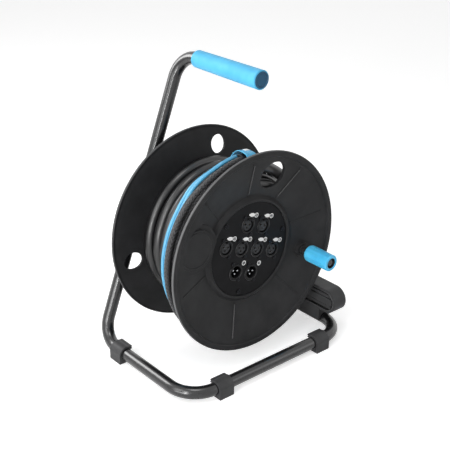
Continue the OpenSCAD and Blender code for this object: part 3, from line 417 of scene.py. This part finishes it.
def tube_piece(name, line, radius, finish, sides=20, floor_r=0.0, round_ends=True):
    """A round tube along a line in the drum's frame. radius: number or function of the fraction along it.
    floor_r: no point comes nearer to the axle than this."""
    length = [0.0]
    for a, b in zip(line, line[1:]):
        length.append(length[-1] + (b - a).length)
    total = length[-1]
    size = radius if callable(radius) else (lambda x: radius)
    rings = []
    for i, (h, up, side) in enumerate(sweep_frames(line)):
        rings.append((line[i], h, up, side, size(length[i] / total), length[i]))
    if round_ends:
        first, last = rings[0], rings[-1]
        cap_steps = (0.98, 0.8, 0.5, 0.15)
        front = [(first[0] - first[1] * first[4] * 0.55 * c, *first[1:4], first[4] * math.sqrt(1 - c * c), first[5])
                 for c in cap_steps]
        back = [(last[0] + last[1] * last[4] * 0.55 * c, *last[1:4], last[4] * math.sqrt(1 - c * c), last[5])
                for c in reversed(cap_steps)]
        rings = front + rings + back
    points, faces, uvs = [], [], []
    for centre, h, up, side, r, u in rings:
        for s in range(sides):
            a = 2 * math.pi * s / sides
            p = centre + r * (math.cos(a) * up + math.sin(a) * side)
            if floor_r:
                d = math.hypot(p.x, p.z)
                if d < floor_r:
                    p = Vector((p.x * floor_r / d, p.y, p.z * floor_r / d))
            points.append(drum_point(*p))
    for i in range(len(rings) - 1):
        for s in range(sides):
            t = (s + 1) % sides
            faces.append((i * sides + s, i * sides + t, (i + 1) * sides + t, (i + 1) * sides + s))
            u0, u1 = rings[i][5] * MM, rings[i + 1][5] * MM
            v0, v1 = s / sides, (s + 1) / sides
            uvs.append(((u0, v0), (u0, v1), (u1, v1), (u1, v0)))
    last = (len(rings) - 1) * sides
    faces.append(tuple(range(sides - 1, -1, -1)))
    uvs.append(tuple((0.0, 0.0) for _ in range(sides)))
    faces.append(tuple(range(last, last + sides)))
    uvs.append(tuple((total * MM, 0.0) for _ in range(sides)))
    return mesh_piece(name, points, faces, finish, "drum", uvs)


# ---------------------------------------------------------------- the wound cable

CABLE_D = 16.5
CABLE_R = CABLE_D / 2
LAYER_R = (97, 102, 104.5, 105.5, 103, 104)
ROW_Y = [29.5 + 17.2 * k + 0.3 * k * (k - 1) for k in range(6)]
TOP_R, TOP_Y = 122.6, 50.0
LAST_R, LAST_Y = 118.6, 33.4
BOOT_R, BOOT_Y = 132.0, 22.8
BOOT_START = 106.5
RISE_FROM, RISE_TO = 7.1833, 7.276
TILT_ANGLE, TILT = 111.0, math.radians(12)
PIVOT = Vector(polar(TILT_ANGLE, BOOT_R, 0))


def leaned(v):
    return Vector((v.x * math.cos(TILT) + v.z * math.sin(TILT), v.y, v.z * math.cos(TILT) - v.x * math.sin(TILT)))


def tilted(p):
    """A point of the breakout, which leans outward along the cable."""
    return PIVOT + leaned(Vector(p) - PIVOT)


def along(angle):
    a = math.radians(angle)
    return Vector((-math.sin(a), 0, math.cos(a)))


TRUNK_END = tilted(polar(BOOT_START, BOOT_R, BOOT_Y))
TRUNK_RUN = TRUNK_END - CABLE_D * leaned(along(BOOT_START))
RISE_R = math.hypot(TRUNK_RUN.x, TRUNK_RUN.z)


def crossing(values, t):
    k = min(int(t), 5)
    return blend(values[k], values[min(k + 1, 5)], (t - int(t) - 0.7) / 0.23)


def turn_y(t):
    if t < 6:
        return crossing(ROW_Y, t)
    if t < 6.75:
        return blend(ROW_Y[5], TOP_Y, (t - 6) / 0.26)
    if t < RISE_FROM:
        return blend(TOP_Y, LAST_Y, (t - 6.75) / 0.3)
    return blend(LAST_Y, BOOT_Y, (t - RISE_FROM) / (RISE_TO - RISE_FROM))


def turn_r(t):
    if t < 5.66:
        return crossing(LAYER_R, t)
    if t < 6.75:
        return blend(crossing(LAYER_R, 5.66), TOP_R, (t - 5.66) / 0.12)
    if t < RISE_FROM:
        return blend(TOP_R, LAST_R, (t - 6.75) / 0.3)
    return LAST_R + (RISE_R - LAST_R) * min(1.0, (t - RISE_FROM) / (RISE_TO - RISE_FROM)) ** 2


def turn_point(t):
    return Vector(polar(360 * t, turn_r(t), turn_y(t)))


def smooth_line(points, step):
    """A Catmull-Rom line through the points, one point about every step."""
    out = []
    for i in range(len(points) - 1):
        p0, p1 = points[max(i - 1, 0)], points[i]
        p2, p3 = points[i + 1], points[min(i + 2, len(points) - 1)]
        n = max(1, round((p2 - p1).length / step))
        for j in range(n):
            t = j / n
            out.append(0.5 * (2 * p1 + (p2 - p0) * t + (2 * p0 - 5 * p1 + 4 * p2 - p3) * t * t
                              + (3 * p1 - p0 - 3 * p2 + p3) * t ** 3))
    out.append(points[-1])
    return out


def winding_line():
    dive = [Vector((LAYER_R[0] - 45 + 45 * math.cos(a), ROW_Y[0], -CABLE_D - 45 * math.sin(a)))
            for a in [math.radians(d) for d in range(75, 0, -5)]]
    line = dive + [Vector((LAYER_R[0], ROW_Y[0], -CABLE_D)), Vector((LAYER_R[0], ROW_Y[0], -CABLE_D / 2))]
    steps = int(7.167 * 96)
    line += [turn_point(i / 96) for i in range(steps)]
    last = [turn_point(steps / 96)]
    last += [turn_point(RISE_FROM + (RISE_TO - RISE_FROM) * (i + 0.5) / 4.4) for i in range(4)]
    last += [TRUNK_RUN, TRUNK_END, tilted(polar(BOOT_START + 3, BOOT_R, BOOT_Y))]
    return line + smooth_line(last, 4.0)


winding = tube_piece("wound_cable", winding_line(), CABLE_R, CABLE, 24, floor_r=83.9)
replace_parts(winding, "cable_turns")


def under_line():
    """The layer under the wound one: its turns lie in the grooves between the turns on top."""
    line = []
    for i in range(int(5.0 * 72) + 1):
        t = i / 72
        y0, y1 = turn_y(t), turn_y(min(t + 1, 5.99))
        drop = math.sqrt(max(CABLE_D ** 2 - ((y1 - y0) / 2) ** 2, 60.0)) + 0.35
        low = min(turn_r(t), crossing(LAYER_R, min(t + 1, 5.99)))
        line.append(Vector(polar(360 * t, max(low - drop, 85.0), (y0 + y1) / 2)))
    return line


under = tube_piece("under_layer", under_line(), CABLE_R, CABLE, 16, floor_r=83.95)
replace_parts(under, "cable_core")

# ---------------------------------------------------------------- tails

TAIL_FROM = BOOT_START + 9.7
TAIL_TO = 262.0


def tail_line(place):
    """From its place in the breakout to its place on the winding: offset, end, how far y runs ahead."""
    (r0, y0), (r1, y1), lead = place
    r0, y0 = r0 + BOOT_R, y0 + BOOT_Y
    line = [tilted(polar(TAIL_FROM - 5, r0, y0)), tilted(polar(TAIL_FROM - 2, r0, y0)),
            tilted(polar(TAIL_FROM, r0, y0)), tilted(polar(TAIL_FROM + 1.6, r0, y0))]
    angle = TAIL_FROM + 7.5
    while angle < TAIL_TO - 2:
        x = (angle - TAIL_FROM - 6) / 42
        line.append(Vector(polar(angle, blend(r0 + 3.4, r1, x), blend(y0, y1, x * lead))))
        angle += 2.5
    line.append(Vector(polar(TAIL_TO, r1, y1)))
    return smooth_line(line, 3.0)


BLUE_PLACES = (((7.1, 13.4), (134.2, 50.5), 1.6), ((12.4, 8.2), (133.7, 44.4), 1.5))
BRAID_PLACES = (((11, -1.8), (142.1, 30.4), 1), ((3.2, 2.8), (137.3, 37.6), 1.2), ((2.8, -5.7), (131.2, 31.8), 1))

blue = [tube_piece("blue_tail_%d" % (i + 1), tail_line(p), 2.8, BLUE_CABLE, 16)
        for i, p in enumerate(BLUE_PLACES)]
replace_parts(blue[0], "blue_tails")
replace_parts(blue[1], "blue_tails")
braids = [tube_piece("braided_tail_%d" % (i + 1), tail_line(p), 4.0, BRAID, 24)
          for i, p in enumerate(BRAID_PLACES)]
for piece in braids:
    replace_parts(piece, "braided_tails")

# ---------------------------------------------------------------- breakout sleeve and strap


def closed_curve(corners, count):
    """Points of a smooth closed curve through [radius, y] corners, evenly spaced."""
    n = len(corners)
    dense = []
    for i in range(n):
        p0, p1, p2, p3 = (Vector(corners[(i + k) % n]) for k in (-1, 0, 1, 2))
        for j in range(24):
            t = j / 24
            dense.append(0.5 * (2 * p1 + (p2 - p0) * t + (2 * p0 - 5 * p1 + 4 * p2 - p3) * t * t
                                + (3 * p1 - p0 - 3 * p2 + p3) * t ** 3))
    dense.append(dense[0].copy())
    reach = [0.0]
    for a, b in zip(dense, dense[1:]):
        reach.append(reach[-1] + (b - a).length)
    out, k = [], 0
    for i in range(count):
        want = reach[-1] * i / count
        while reach[k + 1] < want:
            k += 1
        x = (want - reach[k]) / max(reach[k + 1] - reach[k], 1e-9)
        out.append(dense[k].lerp(dense[k + 1], x))
    return out, reach[-1]


BOOT_SECTION = ((-8.6, -3.2), (-4.4, -7.4), (5, -8.8), (15, -6), (16.5, -4.4), (18, -1.3), (18, 2.7),
                (13.5, 12.2), (6, 20.8), (0, 21.2), (-3.2, 18.2), (-8.6, 5.2))


def boot():
    count = 64
    section, _ = closed_curve([(BOOT_R + r, BOOT_Y + y) for r, y in BOOT_SECTION], count)
    centre = Vector((BOOT_R + 6, BOOT_Y + 5.7))
    collar = []
    for p in section:
        d = (p - centre).normalized()
        collar.append(Vector((BOOT_R, BOOT_Y)) + d * (CABLE_R + 0.4))
    steps = [(0.0, 0.0, 1.0), (0.3, 0.0, 1.04), (1.2, 0.25, 1.0), (2.4, 0.75, 0.985), (3.4, 0.96, 0.975),
             (4.6, 1.0, 0.97), (6.2, 1.0, 0.975), (7.6, 1.0, 0.965), (8.8, 1.0, 0.96), (9.4, 1.0, 0.945),
             (9.6, 1.0, 0.9), (9.5, 1.0, 0.78)]
    points, faces, uvs = [], [], []
    for angle, morph, scale in steps:
        for a, b in zip(collar, section):
            mid = Vector((BOOT_R, BOOT_Y)).lerp(centre, morph)
            p = mid + (a.lerp(b, morph) - mid) * scale
            points.append(drum_point(*tilted(polar(BOOT_START + angle, p.x, p.y))))
    for i in range(len(steps) - 1):
        for s in range(count):
            t = (s + 1) % count
            faces.append((i * count + s, (i + 1) * count + s, (i + 1) * count + t, i * count + t))
            uvs.append(((steps[i][0] * 0.0024, s / count), (steps[i + 1][0] * 0.0024, s / count),
                        (steps[i + 1][0] * 0.0024, (s + 1) / count), (steps[i][0] * 0.0024, (s + 1) / count)))
    last = (len(steps) - 1) * count
    faces.append(tuple(range(count)))
    uvs.append(tuple((0.0, 0.0) for _ in range(count)))
    faces.append(tuple(range(last + count - 1, last - 1, -1)))
    uvs.append(tuple((0.0, 0.0) for _ in range(count)))
    return mesh_piece("breakout_sleeve", points, faces, SHRINK, "drum", uvs)


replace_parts(boot(), "breakout_boot")

STRAP_INNER = ((-9.2, 5.6), (-9.2, -3.4), (-4.7, -8), (5, -10), (13, -11), (17, -9.4), (19.2, -5), (19.8, 2.2),
               (19.8, 8.2), (16.6, 14.8), (9, 20.6), (3, 22.2), (-0.6, 22.1), (-4.1, 18.8))
STRAP_W = 19.5


def strap_frame(radial, y, across):
    """Strap coordinates to the row frame: radial and y in the section, across along the cable."""
    return drum_point(*tilted(Vector(polar(TILT_ANGLE, radial, y)) + across * along(TILT_ANGLE)))


def ribbon(name, path, closed, thick, width, finish, lift=0.0, crown=0.12):
    """Webbing along a path of [radius, y] points: full thickness in the middle, rolled selvedges."""
    n = len(path)
    cross = [(-0.5, 0.0), (-0.485, 0.72), (-0.45, 1.0), (-0.25, 0.94), (0.0, 0.92), (0.25, 0.94), (0.45, 1.0),
             (0.485, 0.72), (0.5, 0.0), (0.485, -0.72), (0.45, -1.0), (0.0, -0.95), (-0.45, -1.0), (-0.485, -0.72)]
    m = len(cross)
    points, faces, uvs = [], [], []
    reach = [0.0]
    for i in range(n):
        a, b = path[i], path[(i + 1) % n]
        reach.append(reach[-1] + (b - a).length)
        before = path[i - 1] if (closed or i) else path[0]
        after = path[(i + 1) % n] if (closed or i < n - 1) else path[-1]
        t = (after - before).normalized()
        out = Vector((t.y, -t.x))
        wave = crown * math.sin(i * 0.9)
        for x, h in cross:
            p = path[i] + out * (lift + thick * (0.5 + 0.5 * h))
            points.append(strap_frame(p.x, p.y, x * width + wave * 0.6))
    for i in range(n if closed else n - 1):
        j = (i + 1) % n
        for k in range(m):
            l = (k + 1) % m
            faces.append((i * m + k, j * m + k, j * m + l, i * m + l))
            u0, u1 = reach[i] * MM, reach[i + 1] * MM
            va, vb = cross[k][0] * width * MM, cross[l][0] * width * MM
            uvs.append(((u0, va), (u1, va), (u1, vb), (u0, vb)))
    if not closed:
        faces.append(tuple(range(m - 1, -1, -1)))
        uvs.append(tuple((0.0, 0.0) for _ in range(m)))
        faces.append(tuple(range((n - 1) * m, n * m)))
        uvs.append(tuple((0.0, 0.0) for _ in range(m)))
    return mesh_piece(name, points, faces, finish, "drum", uvs)


loop, _ = closed_curve([(BOOT_R + r, BOOT_Y + y) for r, y in STRAP_INNER], 150)
area = sum(a.x * b.y - b.x * a.y for a, b in zip(loop, loop[1:] + loop[:1]))
if area < 0:
    loop.reverse()
strap = ribbon("cable_strap_web", loop, True, 1.15, STRAP_W, WEBBING)
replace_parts(strap, "cable_strap")


def tag():
    """The small sewn tag on the strap, left bare."""
    points, faces = [], []
    rows, cols = 6, 8
    for i in range(rows + 1):
        for j in range(cols + 1):
            y = BOOT_Y + 2.8 + 6.8 * i / rows
            x = -STRAP_W / 2 + 2 + 8 * j / cols
            edge = 0.12 if i in (0, rows) or j in (0, cols) else 0.0
            points.append(strap_frame(BOOT_R + 21.35 - edge, y, x))
    w = cols + 1
    for i in range(rows):
        for j in range(cols):
            faces.append((i * w + j, i * w + j + 1, (i + 1) * w + j + 1, (i + 1) * w + j))
    piece = mesh_piece("strap_tag", points, faces, PRINT, "drum")
    solid = piece.modifiers.new("thickness", "SOLIDIFY")
    solid.thickness = 0.0004
    solid.offset = 0
    return piece


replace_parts(tag(), "strap_label")

# ---------------------------------------------------------------- small moulded pieces


def prism(outline, x0, x1, points, faces):
    """An outline of [y, z] points, in the row frame, drawn out along x."""
    base, n = len(points), len(outline)
    for x in (x0, x1):
        points += [Vector((x, y, z)) * MM for y, z in outline]
    for i in range(n):
        j = (i + 1) % n
        faces.append((base + i, base + j, base + n + j, base + n + i))
    faces.append(tuple(range(base + n - 1, base - 1, -1)))
    faces.append(tuple(range(base + n, base + 2 * n)))


def rail_noses():
    """The rails of the bracket's recess, carried on into its round end."""
    points, faces = [], []
    face, front = BEAM_X - BEAM_W / 2, FRONT_Y - 9.05
    round_end = [(front - 5.5 - 6.2 * math.sin(a), BEAM_Z + 6.2 * math.cos(a))
                 for a in [math.pi * k / 12 for k in range(13)]]
    prism([(front, BEAM_Z + 6.2)] + round_end + [(front, BEAM_Z - 6.2)], face + 0.05, face + 2.95, points, faces)
    for side in (-1, 1):
        z0, z1 = BEAM_Z + side * 7.1, BEAM_Z + side * 12
        prism([(front, z0), (front, z1), (front - 7, z1), (front - 9.2, (z0 + z1) / 2 + side * 0.6),
               (front - 9, z0)], face + 1.25, face + 2.95, points, faces)
    return mesh_piece("rail_noses", points, faces, BRACKET_PAINTED_LIGHT, "stand", smooth=False)


def recess_line(reach, offset, steps=24):
    """The stadium outline of the bracket's recess in the row frame, as [y, z]."""
    y = FRONT_Y - 8
    arc = [(y - offset * math.sin(a), BEAM_Z + offset * math.cos(a))
           for a in [math.pi * k / steps for k in range(steps + 1)]]
    return [(y + reach, BEAM_Z + offset)] + arc + [(y + reach, BEAM_Z - offset)]


def recess_trim():
    """The lip round the recess, in a pale grey that is a painted highlight, and a near-black sheet on the floor of its
    outer groove, painted shade.
    """
    face = BEAM_X - BEAM_W / 2
    points, faces = [], []
    rows = [(math.cos(b), math.sin(b)) for b in [2 * math.pi * m / 8 for m in range(8)]]
    lines = [recess_line(34, 15.9 + 0.6 * c) for c, _ in rows]
    n = len(lines[0])
    for m, (_, up) in enumerate(rows):
        points += [Vector((face - 0.1 + 0.6 * up, y, z)) * MM for y, z in lines[m]]
    for m in range(8):
        q = (m + 1) % 8
        for i in range(n - 1):
            faces.append((m * n + i, m * n + i + 1, q * n + i + 1, q * n + i))
    # the lip's paler grey is a painted highlight
    mesh_piece("recess_lip", points, faces, LIP_PAINTED_HIGHLIGHT, "stand")
    # painted shade: a near-black sheet over the groove floor, where it lies in shadow
    inner, outer = recess_line(34, 12.3), recess_line(34, 15.35)
    points = [Vector((face + 2.85, y, z)) * MM for y, z in inner + outer]
    faces = [(i, i + 1, n + i + 1, n + i) for i in range(n - 1)]
    return mesh_piece("recess_floor_painted_shade", points, faces, LINER_AND_PAINTED_SHADE, "stand", smooth=False)


def rib_beads():
    """Rounded crests on three upright ribs of the front flange, in a pale grey that is a painted highlight where they
    catch the light from the left.
    """
    points, faces = [], []
    for angle in (70, 110, 270):
        a = math.radians(angle)
        base, steps = len(points), 26
        for k in range(steps + 1):
            t = k / steps
            r = BARREL_R + 4 + t * (RIB_END - BARREL_R - 4)
            size = 0.75 if k < steps - 1 else (1.25 if k == steps - 1 else 0.3)
            y = DISH_Y + DISH_DEPTH * (DISH_R - r) / (DISH_R - BARREL_R) - 0.95
            for m in range(8):
                b = 2 * math.pi * m / 8
                across = size * math.cos(b)
                points.append(drum_point(r * math.cos(a) - across * math.sin(a), y + 0.75 * math.sin(b),
                                         r * math.sin(a) + across * math.cos(a)))
        for k in range(steps):
            for m in range(8):
                q = (m + 1) % 8
                faces.append((base + k * 8 + m, base + k * 8 + q, base + (k + 1) * 8 + q, base + (k + 1) * 8 + m))
        faces.append(tuple(base + m for m in range(8)))
        faces.append(tuple(base + steps * 8 + m for m in range(7, -1, -1)))
    return mesh_piece("rib_beads", points, faces, BEAD_PAINTED_HIGHLIGHT, "drum")


def knob_liner():
    """The dark liner in the knob's open end."""
    (x0, y0, z0), (x1, y1, z1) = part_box("crank_knob")
    cx, cz = (x0 + x1) / 2, (z0 + z1) / 2
    rows = [(8.12, 0.5), (7.3, 0.5), (7.3, 6.9), (8.12, 6.9)]
    points, faces = [], []
    for k in range(48):
        a = 2 * math.pi * k / 48
        for r, d in rows:
            points.append(Vector((cx + r * MM * math.cos(a), y0 + d * MM, cz + r * MM * math.sin(a))))
    for k in range(48):
        m = (k + 1) % 48
        for i in range(4):
            j = (i + 1) % 4
            faces.append((k * 4 + i, k * 4 + j, m * 4 + j, m * 4 + i))
    return mesh_piece("knob_liner", points, faces, LINER_AND_PAINTED_SHADE, "crank")


def socket_beads():
    """A raised bead round each socket's hole in the panel, in a pale grey that is a painted highlight on the hole's
    edge.
    """
    points, faces = [], []
    for i, row in SOCKET_GRID:
        base = len(points)
        for k in range(48):
            a = 2 * math.pi * k / 48
            for m in range(6):
                b = 2 * math.pi * m / 6
                r = 12.1 + BEAD_R * math.cos(b)
                points.append(drum_point(i * PITCH_X + r * math.cos(a), PANEL_Y - 0.31 + BEAD_R * math.sin(b),
                                         row * PITCH_Z + r * math.sin(a)))
        for k in range(48):
            for m in range(6):
                n, q = (k + 1) % 48, (m + 1) % 6
                faces.append((base + k * 6 + m, base + k * 6 + q, base + n * 6 + q, base + n * 6 + m))
    return mesh_piece("socket_beads", points, faces, BEAD_PAINTED_HIGHLIGHT, "drum")


SOCKET_GRID = [(-0.5, 1), (0.5, 1), (-1.5, 0), (-0.5, 0), (0.5, 0), (1.5, 0), (-0.5, -1), (0.5, -1)]
PITCH_X, PITCH_Z = 31.7, 37.2
BEAD_R, PANEL_Y = 0.33, 17.93
# painted highlight: a pale grey on the socket and rib beads, where their edges catch the light
BEAD_PAINTED_HIGHLIGHT = moulded("bead_painted_highlight", srgb(66, 66, 67), srgb(80, 80, 81), 1500.0, 0.00003, (0.34, 0.44), IOR=1.5,
               Specular_IOR_Level=0.4)
socket_beads()
BEAM_X, BEAM_W, BEAM_Z = 156.25, 25.0, 54.0
BARREL_R, DISH_R, DISH_Y, DISH_DEPTH = 84.0, 145, 3.5, 17
RIB_END = DISH_R - 8
# painted highlight: a paler grey on the recess lip, where its edge catches the light
LIP_PAINTED_HIGHLIGHT = moulded("lip_painted_highlight", srgb(78, 78, 79), srgb(92, 92, 93), 1500.0, 0.00003, (0.34, 0.44), IOR=1.5,
              Specular_IOR_Level=0.4)
# near-black, the knob liner's own colour; on the recess floor the same finish is painted shade
LINER_AND_PAINTED_SHADE = moulded("liner_black_and_painted_shade", srgb(10, 10, 11), srgb(15, 15, 16), 1500.0, 0.00003, (0.4, 0.5), IOR=1.5,
                Specular_IOR_Level=0.2)
rail_noses()
recess_trim()
rib_beads()
knob_liner()

# ---------------------------------------------------------------- printed marks on the panel

DIGITS = {
    1: [[(-0.25, 0.3), (0.05, 0.5), (0.05, -0.5)]],
    2: [[(-0.28, 0.3), (-0.15, 0.47), (0.1, 0.5), (0.27, 0.36), (0.25, 0.12), (-0.3, -0.5), (0.3, -0.5)]],
    3: [[(-0.27, 0.42), (0.0, 0.5), (0.25, 0.38), (0.22, 0.12), (-0.02, 0.02), (0.25, -0.1), (0.27, -0.35),
         (0.0, -0.5), (-0.28, -0.4)]],
    4: [[(0.12, -0.5), (0.12, 0.5), (-0.3, -0.18), (0.32, -0.18)]],
    5: [[(0.27, 0.5), (-0.22, 0.5), (-0.26, 0.05), (0.05, 0.12), (0.28, -0.08), (0.26, -0.36), (0.0, -0.5),
         (-0.27, -0.4)]],
    6: [[(0.22, 0.47), (-0.08, 0.36), (-0.27, 0.05), (-0.27, -0.25), (-0.1, -0.48), (0.14, -0.48), (0.28, -0.25),
         (0.14, -0.02), (-0.1, -0.02), (-0.27, -0.2)]],
}


def marks():
    """Ring marks with plain numbers, and a small plain plug sign beside the microphone sockets."""
    points, faces = [], []

    def add(loop_in, loop_out, closed=True):
        base = len(points)
        n = len(loop_in)
        for p in list(loop_in) + list(loop_out):
            points.append(drum_point(p[0], PANEL_Y, p[1]))
        for i in range(n if closed else n - 1):
            j = (i + 1) % n
            faces.append((base + i, base + j, base + n + j, base + n + i))

    def ring(cx, cz, inner, outer):
        a = [2 * math.pi * i / 40 for i in range(40)]
        add([(cx + inner * math.cos(t), cz + inner * math.sin(t)) for t in a],
            [(cx + outer * math.cos(t), cz + outer * math.sin(t)) for t in a])

    def stroke(line, cx, cz, size, half):
        pts = [Vector((cx + x * size, cz + z * size)) for x, z in line]
        left, right = [], []
        for i, p in enumerate(pts):
            d = (pts[min(i + 1, len(pts) - 1)] - pts[max(i - 1, 0)]).normalized()
            nrm = Vector((-d.y, d.x)) * half
            left.append(p + nrm)
            right.append(p - nrm)
        add([tuple(p) for p in left], [tuple(p) for p in right], closed=False)

    def plug(cx, cz):
        """A plain plug sign: shell, waist and tail, as one filled outline."""
        top = [(-5.3, 0.9), (-3.5, 1.2), (-3.1, 2.1), (-0.9, 2.7), (2.6, 2.9), (3.0, 2.3), (5.1, 2.3), (5.4, 1.8)]
        add([(cx + x, cz + z) for x, z in top], [(cx + x, cz - z) for x, z in top], closed=False)

    numbers = [(-0.5, 1, 1), (0.5, 1, 2), (-1.5, 0, 3), (-0.5, 0, 4), (0.5, 0, 5), (1.5, 0, 6)]
    for i, row, number in numbers:
        cx, cz = i * PITCH_X + MARK_DX, row * PITCH_Z + MARK_DZ
        ring(cx, cz, 2.6, 3.8)
        for line in DIGITS[number]:
            stroke(line, cx, cz, 3.1, 0.32)
        plug(cx - 9.5, cz)
    for i, number in ((-0.5, 1), (0.5, 2)):
        cx, cz = i * PITCH_X + MARK_DX, -PITCH_Z + MARK_DZ
        ring(cx, cz, 2.6, 3.8)
        for line in DIGITS[number]:
            stroke(line, cx, cz, 3.1, 0.32)
    return mesh_piece("panel_marks", points, faces, PRINT, "drum", smooth=False)


MARK_DX, MARK_DZ = 11.75, 15.5
marks()

# ---------------------------------------------------------------- stage, light and camera


def stage_floor():
    size = 6.0
    mesh = bpy.data.meshes.new("floor")
    n = 8
    points = [((i / n - 0.5) * size, (j / n - 0.5) * size, -0.0002) for j in range(n + 1) for i in range(n + 1)]
    faces = [(j * (n + 1) + i, j * (n + 1) + i + 1, (j + 1) * (n + 1) + i + 1, (j + 1) * (n + 1) + i)
             for j in range(n) for i in range(n)]
    mesh.from_pydata(points, [], faces)
    floor = bpy.data.objects.new("floor", mesh)
    bpy.context.scene.collection.objects.link(floor)
    m = bpy.data.materials.new("floor_paper")
    m.use_nodes = True
    t = m.node_tree
    shader = t.nodes["Principled BSDF"]
    shader.inputs["Base Color"].default_value = (0.88, 0.88, 0.88, 1)
    shader.inputs["Roughness"].default_value = 0.9
    shader.inputs["Specular IOR Level"].default_value = 0.1
    path = t.nodes.new("ShaderNodeLightPath")
    seen = t.nodes.new("ShaderNodeMath")
    seen.operation = "MAXIMUM"
    t.links.new(path.outputs["Is Transmission Ray"], seen.inputs[0])
    t.links.new(path.outputs["Is Glossy Ray"], seen.inputs[1])
    mirrored = t.nodes.new("ShaderNodeMath")
    mirrored.operation = "MULTIPLY"
    t.links.new(seen.outputs[0], mirrored.inputs[0])
    mirrored.inputs[1].default_value = 0.15
    glow = t.nodes.new("ShaderNodeMath")
    glow.operation = "MULTIPLY_ADD"
    t.links.new(path.outputs["Is Camera Ray"], glow.inputs[0])
    glow.inputs[1].default_value = 0.55
    t.links.new(mirrored.outputs[0], glow.inputs[2])
    shader.inputs["Emission Color"].default_value = (1, 1, 1, 1)
    t.links.new(glow.outputs[0], shader.inputs["Emission Strength"])
    mesh.materials.append(m)


def world():
    w = bpy.data.worlds.new("studio")
    bpy.context.scene.world = w
    w.use_nodes = True
    t = w.node_tree
    back = t.nodes["Background"]
    back.inputs["Color"].default_value = (1, 1, 1, 1)
    path = t.nodes.new("ShaderNodeLightPath")
    seen = t.nodes.new("ShaderNodeMath")
    seen.operation = "MAXIMUM"
    t.links.new(path.outputs["Is Camera Ray"], seen.inputs[0])
    t.links.new(path.outputs["Is Glossy Ray"], seen.inputs[1])
    seen_2 = t.nodes.new("ShaderNodeMath")
    seen_2.operation = "MAXIMUM"
    t.links.new(seen.outputs[0], seen_2.inputs[0])
    t.links.new(path.outputs["Is Transmission Ray"], seen_2.inputs[1])
    level = t.nodes.new("ShaderNodeMapRange")
    t.links.new(seen_2.outputs[0], level.inputs[0])
    level.inputs[3].default_value = 0.36
    level.inputs[4].default_value = 1.0
    t.links.new(level.outputs[0], back.inputs["Strength"])


def lamp(name, at, aim, size, power, size_y=None):
    data = bpy.data.lights.new(name, "AREA")
    data.energy = power
    data.size = size
    if size_y:
        data.shape = "RECTANGLE"
        data.size_y = size_y
    obj = bpy.data.objects.new(name, data)
    bpy.context.scene.collection.objects.link(obj)
    obj.location = at
    obj.rotation_euler = (Vector(aim) - Vector(at)).to_track_quat("-Z", "Y").to_euler()


def camera():
    """Looks from the front left and a little above, at the photograph's angle."""
    azimuth, elevation, roll = math.radians(40.812), math.radians(24.899), math.radians(0.92)
    place = Vector((-860.4, -993.7, 810.8)) * MM
    data = bpy.data.cameras.new("camera")
    data.lens = 77.48
    data.sensor_width = 36.0
    data.clip_start = 0.01
    obj = bpy.data.objects.new("camera", data)
    bpy.context.scene.collection.objects.link(obj)
    heading = Matrix.Rotation(-azimuth, 4, "Z") @ Matrix.Rotation(math.pi / 2 - elevation, 4, "X")
    obj.matrix_world = Matrix.Translation(place) @ heading @ Matrix.Rotation(roll, 4, "Z")
    bpy.context.scene.camera = obj


stage_floor()
world()
lamp("strip", (-1.32, -0.6, 0.56), (0, 0, 0.3), 0.1, 9.0, 1.15)
lamp("left", (-1.25, 0.05, 1.0), (0, 0, 0.24), 0.5, 4.5, 0.9)
lamp("low", (-1.2, -0.25, 0.18), (0, 0, 0.22), 0.7, 3.5, 0.3)
lamp("top", (-0.3, -0.3, 1.75), (0, 0, 0.2), 0.5, 5.0)
lamp("fill", (1.1, -1.5, 0.9), (0, 0, 0.2), 0.8, 2.0)
lamp("rim", (-0.75, 1.2, 1.0), (0, 0, 0.25), 0.6, 12.0, 0.8)
camera()
bpy.context.scene.view_settings.view_transform = "Standard"
